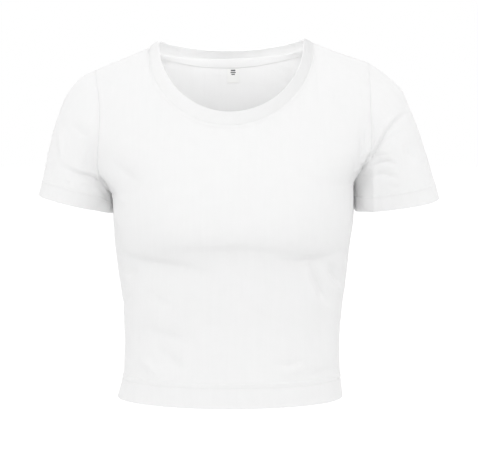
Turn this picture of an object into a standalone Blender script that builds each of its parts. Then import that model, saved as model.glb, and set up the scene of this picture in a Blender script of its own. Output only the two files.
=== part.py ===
"""Cropped T-shirt with a round rib neckband and short set-in sleeves, filled out and hollow.

The tables are in millimetres and the meshes in metres. +Z is up, the front faces -Y and the
wearer's left is +X. The origin is the middle of the neck, level with the high points of the
shoulders, where the wearer holds the garment up.
"""
import math
from collections import defaultdict, namedtuple

import bpy
import numpy as np

MM = 0.001
WALL = 1.2                # one ply of jersey, with the air it holds
HEM_WALL = 2.0            # two plies at the turned hem and cuffs
BAND_WALL = 2.0           # doubled rib
TAPE_WALL = 1.0
LABEL_WALL = 0.8
SEAM_GAP = 0.3            # between neighbouring pieces

UPPER_ROWS = 12           # rows of facets from the armpits up to the shoulders and the neckline
SHOULDER_COLUMNS = 6      # columns of facets that end on each shoulder seam
NECK_COLUMNS = 20         # columns of facets that end on the neckline
SLEEVE_ROWS = 7
CUFF_DEPTH = 22.0         # from the cuff's edge up to its turn
CUFF_TURN_MIN = 0.45      # the turn's least share of the way down, at the short underarm
FRONT, BACK = -1, 1

# The body, level by level from the shoulder line down. Each level runs from the left edge, +X,
# over the middle of a panel to the right edge, -X. The edges follow the armhole down to the
# armpit and then the side seam. front_square and back_square: 2 is an ellipse, more is boxier.
# bust: how far the cloth stands out over each side of the bust. reach: how far round the
# section turns, in degrees. fall: 1 runs straight down from middle to edge, 2 in a curve.
Level = namedtuple("Level", "front_z front_y front_square bust back_z back_y back_square "
                            "left_x right_x left_z right_z front_edge back_edge reach fall")
LEVELS = (
    Level(32, 0, 2.0, 0, 32, 0, 2.0, 176.5, 176.0, -31.5, -41.5, 3, 3, 60, 1.0),
    Level(0, -34, 2.0, 0, 4, 38, 2.0, 177.0, 172.5, -50, -58, -20, 24, 60, 1.4),
    Level(-40, -55, 2.0, 0, -24, 60, 2.0, 177.0, 169.0, -71, -77, -34, 41, 60, 1.8),
    Level(-76, -68, 2.0, 0, -60, 80, 2.0, 177.0, 167.5, -94, -100, -43, 52, 60, 2.0),
    Level(-108, -80, 2.0, 0.5, -95, 91, 2.0, 177.5, 168.0, -118, -124, -48, 57, 62, 2.0),
    Level(-138, -95, 2.05, 1.5, -128, 97, 2.0, 177.0, 170.0, -142, -150, -47, 53, 66, 2.0),
    Level(-165, -109, 2.2, 3, -160, 98, 2.05, 171.0, 168.0, -162, -177, -34, 36, 76, 2.0),
    Level(-190, -118, 2.45, 4, -190, 96, 2.25, 157.0, 154.0, -186, -200, 0, 0, 90, 2.0),
    Level(-222, -125, 2.4, 5, -225, 92, 2.2, 158.5, 153.5, -220, -228, 0, 0, 90, 2.0),
    Level(-250, -124, 2.35, 5, -252, 88, 2.15, 155.5, 151.5, -250, -254, 0, 0, 90, 2.0),
    Level(-276, -111, 2.3, 3.5, -278, 83, 2.1, 152.0, 149.0, -277, -279, 0, 0, 90, 2.0),
    Level(-304, -103, 2.2, 2, -306, 78, 2.0, 149.0, 146.0, -305, -306, 0, 0, 90, 2.0),
    Level(-336, -99, 2.15, 1, -338, 74, 2.0, 145.0, 142.0, -337, -337, 0, 0, 90, 2.0),
    Level(-368, -96, 2.1, 0, -370, 72, 2.0, 141.5, 139.5, -369, -369, 0, 0, 90, 2.0),
    Level(-404, -94.5, 2.05, 0, -404, 74, 2.0, 140.5, 139.7, -404, -404, 0, 0, 90, 2.0),
    Level(-440, -94, 2.0, 0, -440, 79, 2.0, 141.5, 142.0, -440, -440, 0, 0, 90, 2.0),
    Level(-466.5, -95, 2.0, 0, -466.5, 86, 2.0, 144.8, 148.5, -466, -466, 0, 0, 90, 2.0),
)
ARMPIT_LEVEL = 7
HEM_LEVEL = len(LEVELS) - 1         # the level above it is the top of the turned hem
BUST_X, BUST_SPREAD = 74.0, 42.0

# The round neck: half ellipses seen from the front, one at the seam and one at the free edge
# of the band. tilt: how much higher the wearer's left end lies than the middle.
Neck = namedtuple("Neck", "half_width side_z front_drop back_drop tilt")
NECK_SEAM = Neck(105.0, -8.8, 101.0, 15.7, 3.0)
NECK_EDGE = Neck(93.0, -1.8, 91.0, 12.5, 1.2)
NECK_EDGE_SIDE_Y = 1.5              # where the free edge passes over the shoulder seams
NECK_EDGE_BACK_Y = 48.0             # and behind the neck
BAND_ROUND = 0.8                    # how far the band rounds out between its edges
CHEST_MIDDLE = (0.0, 0.0, -160.0)   # a place inside the garment that it rounds away from

# Each sleeve runs from its armhole to its cuff. outer and inner: the cuff's ends in the front
# view. front: from the cuff's middle to its front. squares: how far its front and back halves
# are from round, which is 1, towards a box. The pulls steer the cloth as it leaves the
# armhole (leave) and as it comes to the cuff (arrive), over the top, the front, the underarm
# and the back; x counts away from the body.
Cuff = namedtuple("Cuff", "outer inner front squares")
Pull = namedtuple("Pull", "top front under back")
CUFFS = {
    "left": Cuff((267.2, -12, -204.5), (158.5, 22, -225), (0, -48, -7.0), (0.85, 1.0)),
    "right": Cuff((-247.8, -14, -203.9), (-151.5, 33, -228), (0, -49, -5.0), (0.66, 1.0)),
}
LEAVE = {
    "left": Pull((61, 0, -17), (25, -14, -8), (4, 4, -12), (25, 14, -8)),
    "right": Pull((50, 0, -9), (22, -14, -8), (4, 6, -10), (22, 14, -8)),
}
ARRIVE = {
    "left": Pull((-24, 2, 86), (-8, -4, 36), (-1, -2, 10), (-8, 4, 36)),
    "right": Pull((-14, 2, 58), (-8, -4, 32), (-1, -2, 8), (-8, 4, 32)),
}

# The tape and the label lie on the back panel's inner face, at rows and columns of its grid,
# which are 14 and 16 mm apart there. Rows count from the neck seam, the label's columns from
# the middle of the neck.
TAPE_ROWS = (0.08, 0.92)
TAPE_END = 1                        # columns left free next to each shoulder seam
LABEL_ROWS = (0.95, 2.2)
LABEL_COLUMNS = (-0.37, 0.61)

Finish = namedtuple("Finish", "colour roughness")
FINISHES = {
    "white_jersey": Finish((0.90, 0.90, 0.90, 1.0), 0.85),
    "white_rib": Finish((0.89, 0.89, 0.89, 1.0), 0.85),
    "white_tape": Finish((0.88, 0.88, 0.88, 1.0), 0.75),
    "label_satin": Finish((0.93, 0.93, 0.92, 1.0), 0.45),
}


def clear_scene():
    """Remove what a new file holds."""
    for thing in list(bpy.data.objects):
        bpy.data.objects.remove(thing, do_unlink=True)


def ease(before, here, after, beyond, t):
    """The smooth curve through four even values, at t between here and after."""
    return 0.5 * (2 * here + (after - before) * t
                  + (2 * before - 5 * here + 4 * after - beyond) * t * t
                  + (3 * here - before - 3 * after + beyond) * t ** 3)


def level_at(v):
    """The level that lies v rows down from the shoulder line."""
    row = min(max(int(v), 0), HEM_LEVEL - 1)
    four = [LEVELS[min(max(row + k, 0), HEM_LEVEL)] for k in (-1, 0, 1, 2)]
    return Level(*(ease(*values, v - row) for values in zip(*four)))


def panel_point(side, u, v):
    """A point of the front or back, u across from right (-1) to left (1), v rows down."""
    level = level_at(v)
    mid_z, mid_y, square, edge_y = ((level.front_z, level.front_y, level.front_square,
                                     level.front_edge) if side == FRONT else
                                    (level.back_z, level.back_y, level.back_square,
                                     level.back_edge))
    edge_x, edge_z = ((level.left_x, level.left_z) if u > 0 else
                      (-level.right_x, level.right_z))
    reach = math.radians(level.reach)
    turn = abs(u) * reach
    across = (math.sin(turn) / math.sin(reach)) ** (2 / square)
    full = max(math.cos(reach), 0.0) ** (2 / square)
    inward = (1 - max(math.cos(turn), 0.0) ** (2 / square)) / (1 - full)
    x = edge_x * across
    y = mid_y + (edge_y - mid_y) * inward
    if side == FRONT:
        y -= level.bust * math.exp(-((abs(x) - BUST_X) / BUST_SPREAD) ** 2)
    z = mid_z + (edge_z - mid_z) * across ** level.fall
    return np.array((x, y, z))


def halve(low, high, is_low):
    """The place between low and high where is_low stops being true."""
    for _ in range(26):
        middle = (low + high) / 2
        low, high = (middle, high) if is_low(middle) else (low, middle)
    return (low + high) / 2


def u_at_x(side, x, v):
    """How far across a level the panel reaches x."""
    return halve(-1.0, 1.0, lambda u: panel_point(side, u, v)[0] < x)


def find_on_panel(side, x, z):
    """The (u, v) of the panel's point that shows at x, z from the front."""
    v = halve(0.0, ARMPIT_LEVEL,
              lambda v: panel_point(side, u_at_x(side, x, v), v)[2] > z)
    return u_at_x(side, x, v), v


def neck_xz(neck, side, angle):
    """Where a neck curve shows from the front, angle round from the middle of that side."""
    x = neck.half_width * math.sin(angle)
    base = neck.side_z + neck.tilt * math.sin(angle)
    if side == FRONT:
        return x, base - neck.front_drop * math.cos(angle)
    return x, base - neck.back_drop * math.cos(angle)


def neck_angles():
    """The angles of the neckline's points, from the right shoulder to the left."""
    return [math.radians(-90 + 180 * i / NECK_COLUMNS) for i in range(NECK_COLUMNS + 1)]


def top_edge(side):
    """The (u, v) along the right shoulder seam, the neckline and the left shoulder seam."""
    neckline = [find_on_panel(side, *neck_xz(NECK_SEAM, side, a)) for a in neck_angles()]
    neckline[0], neckline[-1] = shoulder_neck_end(-1), shoulder_neck_end(1)
    right = [(-1 + (neckline[0][0] + 1) * i / SHOULDER_COLUMNS, 0.0)
             for i in range(SHOULDER_COLUMNS)]
    left = [(1 + (neckline[-1][0] - 1) * i / SHOULDER_COLUMNS, 0.0)
            for i in range(SHOULDER_COLUMNS)]
    return right + neckline + left[::-1]


def shoulder_neck_end(hand):
    """The (u, v) where a shoulder seam meets the neck, the same on front and back."""
    return u_at_x(FRONT, hand * NECK_SEAM.half_width, 0.0), 0.0


def panel_rows(side):
    """The panel's points, row by row from its top edge to the hem, and the wall of each row."""
    top = top_edge(side)
    columns = len(top) - 1
    base = [-1 + 2 * j / columns for j in range(columns + 1)]
    rows = []
    for i in range(UPPER_ROWS):
        share = i / UPPER_ROWS
        rows.append([panel_point(side, u0 + (u1 - u0) * share, v0 + (ARMPIT_LEVEL - v0) * share)
                     for (u0, v0), u1 in zip(top, base)])
    for v in range(ARMPIT_LEVEL, HEM_LEVEL + 1):
        rows.append([panel_point(side, u, v) for u in base])
    walls = [WALL] * (len(rows) - 2) + [HEM_WALL, HEM_WALL]
    return np.array(rows), walls


def armhole_loop(hand, front, back):
    """The armhole's points: shoulder, down the front, armpit, up the back."""
    column = -1 if hand == "left" else 0
    down = front[:UPPER_ROWS + 1, column]
    up = back[1:UPPER_ROWS, column][::-1]
    return np.concatenate([down, up])


def pull_at(pull, turn, away):
    """The pull at a turn round the sleeve, 0 over the top and a quarter turn at the front."""
    shares = (max(math.cos(turn), 0.0) ** 2, max(math.sin(turn), 0.0) ** 2,
              max(-math.cos(turn), 0.0) ** 2, max(-math.sin(turn), 0.0) ** 2)
    x, y, z = sum(share * np.array(vector) for share, vector in zip(shares, pull))
    return np.array((away * x, y, z))


def cuff_point(cuff, turn):
    """A point of the cuff's edge."""
    outer, inner, front = (np.array(v, dtype=float) for v in cuff[:3])
    power = cuff.squares[0] if math.sin(turn) > 0 else cuff.squares[1]
    across, along = (math.copysign(abs(v) ** power, v) for v in (math.cos(turn), math.sin(turn)))
    return (outer + inner) / 2 + (outer - inner) / 2 * across + front * along


def strand_steps(length):
    """Where the rings cross a strand of the sleeve: evenly down to the cuff's turn, then its end."""
    turn = max(1 - CUFF_DEPTH / length, CUFF_TURN_MIN)
    return [turn * k / (SLEEVE_ROWS - 1) for k in range(SLEEVE_ROWS)] + [1.0]


def sleeve_rows(hand, front, back):
    """The sleeve's points, ring by ring from the armhole to the cuff, and each ring's wall."""
    away = 1 if hand == "left" else -1
    loop = armhole_loop(hand, front, back)
    strands = []
    for i, start in enumerate(loop):
        turn = 2 * math.pi * i / len(loop)
        end = cuff_point(CUFFS[hand], turn)
        one = start + pull_at(LEAVE[hand], turn, away)
        two = end + pull_at(ARRIVE[hand], turn, away)
        strands.append([(1 - t) ** 3 * start + 3 * (1 - t) ** 2 * t * one
                        + 3 * (1 - t) * t * t * two + t ** 3 * end
                        for t in strand_steps(np.linalg.norm(end - start))])
    rows = np.array(strands).transpose(1, 0, 2)
    walls = [WALL] * (SLEEVE_ROWS - 1) + [HEM_WALL] * 2
    return rows, walls


def band_edge_point(side, angle):
    """A point of the band's free edge."""
    x, z = neck_xz(NECK_EDGE, side, angle)
    if side == FRONT:
        return np.array((x, panel_point(FRONT, *find_on_panel(FRONT, x, z))[1], z))
    behind = math.cos(angle)
    y = NECK_EDGE_SIDE_Y + (NECK_EDGE_BACK_Y - NECK_EDGE_SIDE_Y) * behind
    return np.array((x, y, z + NECK_EDGE.back_drop * behind * (1 - behind)))


def band_rows(front, back):
    """The band's points, ring by ring from the neck seam to the free edge."""
    first, last = SHOULDER_COLUMNS, SHOULDER_COLUMNS + NECK_COLUMNS
    seam = np.concatenate([front[0, first:last + 1], back[0, first + 1:last][::-1]])
    angles = neck_angles()
    edge = np.array([band_edge_point(FRONT, a) for a in angles]
                    + [band_edge_point(BACK, a) for a in angles[1:-1][::-1]])
    middle = (seam + edge) / 2
    outward = middle - np.array(CHEST_MIDDLE)
    middle += BAND_ROUND * outward / np.linalg.norm(outward, axis=1)[:, None]
    return np.array([seam, middle, edge]), [BAND_WALL] * 3


def grid_normals(rows, closed):
    """The outward normal at each point of a grid of points."""
    down = np.gradient(rows, axis=0)
    if closed:
        across = (np.roll(rows, -1, axis=1) - np.roll(rows, 1, axis=1)) / 2
    else:
        across = np.gradient(rows, axis=1)
    normals = np.cross(down, across)
    return normals / np.linalg.norm(normals, axis=2)[:, :, None]


class Cloth:
    """A wall of cloth: a grid of points on its outer face, its top row and its sides sewn."""

    def __init__(self, name, finish, rows, walls, closed, turn_over=False):
        self.name, self.finish, self.closed = name, finish, closed
        self.rows, self.walls = rows, walls
        self.normals = grid_normals(rows, closed) * (-1 if turn_over else 1)

    def sewn(self):
        """The places in the grid that lie on a seam, with the step along it and into the cloth."""
        height, width = self.rows.shape[:2]
        places = [((0, j), (0, 1), (1, 0)) for j in range(width)]
        if not self.closed:
            for i in range(height):
                places.append(((i, 0), (1, 0), (0, 1)))
                places.append(((i, width - 1), (1, 0), (0, -1)))
        return places

    def at(self, place, step, count):
        """The point that lies count steps from a place, held at the grid's ends."""
        height, width = self.rows.shape[:2]
        i = min(max(place[0] + step[0] * count, 0), height - 1)
        j = place[1] + step[1] * count
        j = j % width if self.closed else min(max(j, 0), width - 1)
        return self.rows[i, j]


def seam_key(point):
    """A name for a place in space that the pieces sewn there share."""
    return tuple(np.round(point, 3))


def sew(cloths):
    """Give pieces that meet one shared normal at the seam, and part them by the seam gap."""
    shared = defaultdict(lambda: np.zeros(3))
    for cloth in cloths:
        for place in {place for place, _, _ in cloth.sewn()}:
            shared[seam_key(cloth.rows[place])] += cloth.normals[place]
    for cloth in cloths:
        moved = cloth.rows.copy()
        for place, along, inward in cloth.sewn():
            point = cloth.rows[place]
            normal = shared[seam_key(point)]
            normal = normal / np.linalg.norm(normal)
            cloth.normals[place] = normal
            tangent = cloth.at(place, along, 1) - cloth.at(place, along, -1)
            aside = np.cross(tangent, normal)
            aside *= np.sign(aside @ (cloth.at(place, inward, 1) - point))
            moved[place] += aside / np.linalg.norm(aside) * SEAM_GAP / 2
        cloth.rows = moved


def wall_faces(height, width, closed):
    """Faces of a wall whose outer points come first, row by row, and its inner points after."""
    count = height * width
    faces = []
    for i in range(height - 1):
        for j in range(width if closed else width - 1):
            k = (j + 1) % width
            a, b, c, d = i * width + j, i * width + k, (i + 1) * width + k, (i + 1) * width + j
            faces.append((a, b, c, d))
            faces.append((a + count, d + count, c + count, b + count))
    rim = [i * width + j for i, j in rim_places(height, width, closed)]
    for ring in ([rim[:width], rim[width:]] if closed else [rim]):
        for a, b in zip(ring, ring[1:] + ring[:1]):
            faces.append((a, a + count, b + count, b))
    return faces


def rim_places(height, width, closed):
    """The places round the edge of a grid, in order."""
    top = [(0, j) for j in range(width)]
    bottom = [(height - 1, j) for j in range(width)][::-1]
    if closed:
        return top + bottom
    left = [(i, 0) for i in range(1, height - 1)][::-1]
    right = [(i, width - 1) for i in range(1, height - 1)]
    return top + right + bottom + left


def make_material(name):
    """A plain Principled material from the table of finishes."""
    material = bpy.data.materials.get(name)
    if material is None:
        material = bpy.data.materials.new(name)
        material.use_nodes = True
        shader = material.node_tree.nodes["Principled BSDF"]
        shader.inputs["Base Color"].default_value = FINISHES[name].colour
        shader.inputs["Roughness"].default_value = FINISHES[name].roughness
    return material


def make_object(name, finish, points, faces):
    """A named object of points in millimetres, with its faces turned outward."""
    mesh = bpy.data.meshes.new(name)
    mesh.from_pydata([tuple(point * MM) for point in points], [], faces)
    mesh.validate()
    if mesh_volume(mesh) < 0:
        mesh.flip_normals()
    mesh.materials.append(make_material(finish))
    thing = bpy.data.objects.new(name, mesh)
    bpy.context.scene.collection.objects.link(thing)
    mesh.shade_smooth()
    mesh.set_sharp_from_angle(angle=math.radians(40))
    return thing


def mesh_volume(mesh):
    """The volume that a closed mesh holds, negative when it is inside out."""
    mesh.calc_loop_triangles()
    points = [vertex.co for vertex in mesh.vertices]
    return sum(points[a].dot(points[b].cross(points[c]))
               for a, b, c in (triangle.vertices for triangle in mesh.loop_triangles)) / 6


def make_cloth(cloth):
    """The closed wall of one piece of cloth."""
    walls = np.array(cloth.walls)[:, None, None]
    inner = cloth.rows - cloth.normals * walls
    height, width = cloth.rows.shape[:2]
    points = np.concatenate([cloth.rows.reshape(-1, 3), inner.reshape(-1, 3)])
    return make_object(cloth.name, cloth.finish, points, wall_faces(height, width, cloth.closed))


def lining_point(panel, i, j, lift):
    """A point lifted off a panel's inner face, at row i and column j of its grid."""
    row = min(int(i), len(panel.rows) - 2)
    column = min(int(j), panel.rows.shape[1] - 2)
    down, across = i - row, j - column
    inner = panel.rows - panel.normals * (WALL + lift)
    upper = inner[row, column] * (1 - across) + inner[row, column + 1] * across
    lower = inner[row + 1, column] * (1 - across) + inner[row + 1, column + 1] * across
    return upper * (1 - down) + lower * down


def make_lining(name, finish, panel, rows, columns, wall):
    """A thin strip on the inside of a panel, between the given rows and columns of its grid."""
    points = [lining_point(panel, i, j, lift) for lift in (SEAM_GAP, SEAM_GAP + wall)
              for i in rows for j in columns]
    return make_object(name, finish, points, wall_faces(len(rows), len(columns), False))


def steps_between(first, last):
    """The grid lines from first to last: both ends and each whole number between."""
    return [first] + list(range(math.floor(first) + 1, math.ceil(last))) + [last]


def make_neck_tape(back):
    """The tape over the back neck seam, from shoulder seam to shoulder seam."""
    columns = steps_between(SHOULDER_COLUMNS + TAPE_END,
                            SHOULDER_COLUMNS + NECK_COLUMNS - TAPE_END)
    return make_lining("neck_tape", "white_tape", back, TAPE_ROWS, columns, TAPE_WALL)


def make_size_label(back):
    """The small blank label that hangs from under the tape, near the middle."""
    middle = SHOULDER_COLUMNS + NECK_COLUMNS / 2
    columns = steps_between(middle + LABEL_COLUMNS[0], middle + LABEL_COLUMNS[1])
    return make_lining("size_label", "label_satin", back, steps_between(*LABEL_ROWS), columns,
                       LABEL_WALL)


def main():
    """Build every piece of the garment."""
    clear_scene()
    front, front_walls = panel_rows(FRONT)
    back, back_walls = panel_rows(BACK)
    cloths = [Cloth("front_panel", "white_jersey", front, front_walls, False),
              Cloth("back_panel", "white_jersey", back, back_walls, False, turn_over=True)]
    for hand in ("left", "right"):
        rows, walls = sleeve_rows(hand, front, back)
        cloths.append(Cloth("sleeve_" + hand, "white_jersey", rows, walls, True,
                            turn_over=hand == "left"))
    rows, walls = band_rows(front, back)
    cloths.append(Cloth("neckband", "white_rib", rows, walls, True, turn_over=True))
    sew(cloths)
    for cloth in cloths:
        make_cloth(cloth)
    back_panel = cloths[1]
    make_neck_tape(back_panel)
    make_size_label(back_panel)


main()
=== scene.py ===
"""The look of a plain white cropped T-shirt, filled out with no wearer inside.

Sizes are in millimetres and meshes in metres, in the loaded model's frame: +Z is up, the front
faces -Y and the wearer's left is +X. Each piece of cloth is a grid of points on its outer face.
Its first row is sewn and its last row is a free edge.
"""
import logging
import math
from collections.abc import Callable
from dataclasses import dataclass, field
from enum import Enum
from functools import cached_property
from typing import NamedTuple

import bpy
import numpy as np
from mathutils.bvhtree import BVHTree
from mathutils.kdtree import KDTree
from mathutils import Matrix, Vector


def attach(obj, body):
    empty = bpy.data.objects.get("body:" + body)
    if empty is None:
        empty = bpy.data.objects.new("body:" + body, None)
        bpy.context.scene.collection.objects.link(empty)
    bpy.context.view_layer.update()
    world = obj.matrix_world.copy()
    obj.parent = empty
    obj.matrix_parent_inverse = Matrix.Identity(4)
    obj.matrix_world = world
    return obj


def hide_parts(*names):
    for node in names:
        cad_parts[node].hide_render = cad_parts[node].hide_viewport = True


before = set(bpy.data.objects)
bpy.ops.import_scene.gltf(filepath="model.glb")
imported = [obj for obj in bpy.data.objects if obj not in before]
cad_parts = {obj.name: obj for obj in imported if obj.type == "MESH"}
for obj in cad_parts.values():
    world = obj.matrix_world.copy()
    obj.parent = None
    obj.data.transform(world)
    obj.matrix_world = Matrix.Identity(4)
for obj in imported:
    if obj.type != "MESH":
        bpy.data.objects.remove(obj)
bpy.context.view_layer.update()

MM = 0.001
SHARP_ANGLE = math.radians(50)
HALVINGS = 26
WEAVE_MAP = "weave"
LOG = logging.getLogger("crop_top")

Array = np.ndarray
Numbers = tuple[float, ...]
Pair = tuple[float, float]
Point = tuple[float, float, float]
Material = bpy.types.Material
Socket = bpy.types.NodeSocket


class Side(Enum):
    """The half of the body that a panel covers, and the way it faces along Y."""

    FRONT = -1
    BACK = 1


class Hand(Enum):
    """The wearer's hand that a sleeve is for, and the way it points along X."""

    LEFT = 1
    RIGHT = -1


class Look(Enum):
    """A way to look at the cloth: the axes across and up, then the axis and sign that face it."""

    FRONT = (0, 2, 1, -1)
    BACK = (0, 2, 1, 1)
    LEFT = (1, 2, 0, 1)
    RIGHT = (1, 2, 0, -1)


class Level(NamedTuple):
    """The body at one height, from its left edge over the middle of a panel to its right edge.

    The front and the back each have the height, the depth and the squareness of their middle,
    and the depth of their edge. reach is how far round its ellipse a panel goes, in degrees, and
    fall is how late it drops from its middle's height to its edge's.
    """

    front_z: float
    front_y: float
    front_square: float
    bust: float
    back_z: float
    back_y: float
    back_square: float
    left_x: float
    right_x: float
    left_z: float
    right_z: float
    front_edge: float
    back_edge: float
    reach: float
    fall: float


LEVELS = (
    Level(32, 0, 2.0, 0, 32, 0, 2.0, 176.5, 176.0, -31.5, -41.5, 3, 3, 60, 1.0),
    Level(0, -34, 2.0, 0, 4, 38, 2.0, 177.0, 172.5, -50, -58, -20, 24, 60, 1.4),
    Level(-40, -55, 2.0, 0, -24, 60, 2.0, 177.0, 169.0, -71, -77, -34, 41, 60, 1.8),
    Level(-76, -68, 2.0, 0, -60, 80, 2.0, 177.0, 167.5, -94, -100, -43, 52, 60, 2.0),
    Level(-108, -80, 2.0, 0.5, -95, 91, 2.0, 177.5, 168.0, -118, -124, -48, 57, 62, 2.0),
    Level(-138, -95, 2.05, 1.5, -128, 97, 2.0, 177.0, 170.0, -142, -150, -47, 53, 66, 2.0),
    Level(-165, -109, 2.2, 3, -160, 98, 2.05, 171.0, 168.0, -162, -177, -34, 36, 76, 2.0),
    Level(-190, -118, 2.45, 4, -190, 96, 2.25, 157.0, 154.0, -186, -200, 0, 0, 90, 2.0),
    Level(-222, -125, 2.4, 5, -225, 92, 2.2, 158.5, 153.5, -220, -228, 0, 0, 90, 2.0),
    Level(-250, -124, 2.35, 5, -252, 88, 2.15, 155.5, 151.5, -250, -254, 0, 0, 90, 2.0),
    Level(-276, -111, 2.3, 3.5, -278, 83, 2.1, 152.0, 149.0, -277, -279, 0, 0, 90, 2.0),
    Level(-304, -103, 2.2, 2, -306, 78, 2.0, 149.0, 146.0, -305, -306, 0, 0, 90, 2.0),
    Level(-336, -99, 2.15, 1, -338, 74, 2.0, 145.0, 142.0, -337, -337, 0, 0, 90, 2.0),
    Level(-368, -96, 2.1, 0, -370, 72, 2.0, 141.5, 139.5, -369, -369, 0, 0, 90, 2.0),
    Level(-404, -94.5, 2.05, 0, -404, 74, 2.0, 140.5, 139.7, -404, -404, 0, 0, 90, 2.0),
    Level(-440, -94, 2.0, 0, -440, 79, 2.0, 141.5, 142.0, -440, -440, 0, 0, 90, 2.0),
    Level(-466.5, -95, 2.0, 0, -466.5, 86, 2.0, 144.8, 148.5, -466, -466, 0, 0, 90, 2.0),
)


def curve(table: Array, t: Array) -> Array:
    """Follow the smooth curve through a table's rows.

    Args:
        table: The rows to pass through, with one more at each end that only steers.
        t: How many rows past the table's second row, one number for each point wanted.

    Returns:
        The values of the table's columns at each t.
    """
    row = np.clip(t.astype(int), 0, len(table) - 4)
    t = (t - row)[..., None]
    before, here, after, beyond = (table[row + k] for k in range(4))
    return 0.5 * (2 * here + (after - before) * t
                  + (2 * before - 5 * here + 4 * after - beyond) * t * t
                  + (3 * here - before - 3 * after + beyond) * t ** 3)


def halve(low: Array, high: Array,
          is_low: Callable[[Array], Array]) -> Array:
    """Find where a test stops being true.

    Args:
        low: Places where the test is true.
        high: Places where it is false.
        is_low: The test, which takes an array of places.

    Returns:
        The places between where it changes.
    """
    for _ in range(HALVINGS):
        middle = (low + high) / 2
        lower = is_low(middle)
        low, high = np.where(lower, middle, low), np.where(lower, high, middle)
    return (low + high) / 2


def hump(d: Array, middle: float, spread: float) -> Array:
    """A soft hump of height 1 over the distance middle."""
    return np.exp(-((d - middle) / spread) ** 2)


def ramp(low: float, high: float, x: Array) -> Array:
    """A soft step from 0 at low to 1 at high."""
    t = np.clip((x - low) / (high - low), 0, 1)
    return t * t * (3 - 2 * t)


def unit(vectors: Array) -> Array:
    """The vectors made one long."""
    return vectors / np.maximum(np.linalg.norm(vectors, axis=-1, keepdims=True), 1e-9)


def travel(points: Array, axis: int = 0) -> Array:
    """The distance travelled along an axis of a grid of points, from 0 at its first one."""
    steps = np.linalg.norm(np.diff(points, axis=axis), axis=-1)
    start = np.zeros_like(steps.take([0], axis=axis))
    return np.concatenate((start, np.cumsum(steps, axis=axis)), axis=axis)


def blend(grid: Array, i: Array, j: Array) -> Array:
    """Read a grid between its points.

    Args:
        grid: The grid, of numbers or of vectors.
        i: The rows to read, with fractions.
        j: The columns, in a shape that goes with the rows.

    Returns:
        The values there.
    """
    row = np.minimum(i.astype(int), len(grid) - 2)
    column = np.minimum(j.astype(int), grid.shape[1] - 2)
    down, across = i - row, j - column
    if grid.ndim > 2:
        down, across = down[..., None], across[..., None]
    upper = grid[row, column] * (1 - across) + grid[row, column + 1] * across
    lower = grid[row + 1, column] * (1 - across) + grid[row + 1, column + 1] * across
    return upper * (1 - down) + lower * down


@dataclass(frozen=True)
class NeckCurve:
    """A round neck seen from the front, as half an ellipse for the front and one for the back."""

    half_width: float
    side_z: float
    front_drop: float
    back_drop: float
    tilt: float

    def seen(self, side: Side, angle: Array) -> tuple[Array, Array]:
        """Follow the neck round.

        Args:
            side: The front or the back.
            angle: The angles round from the middle of that side.

        Returns:
            The x and the z there.
        """
        drop = self.front_drop if side is Side.FRONT else self.back_drop
        x = self.half_width * np.sin(angle)
        return x, self.side_z + self.tilt * np.sin(angle) - drop * np.cos(angle)


NECK_SEAM = NeckCurve(105.0, -8.8, 101.0, 15.7, 3.0)
NECK_STITCH = NeckCurve(108.6, -8.8, 104.6, 19.3, 3.0)
NECK_EDGE = NeckCurve(93.0, -1.8, 91.0, 12.5, 1.2)


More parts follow.
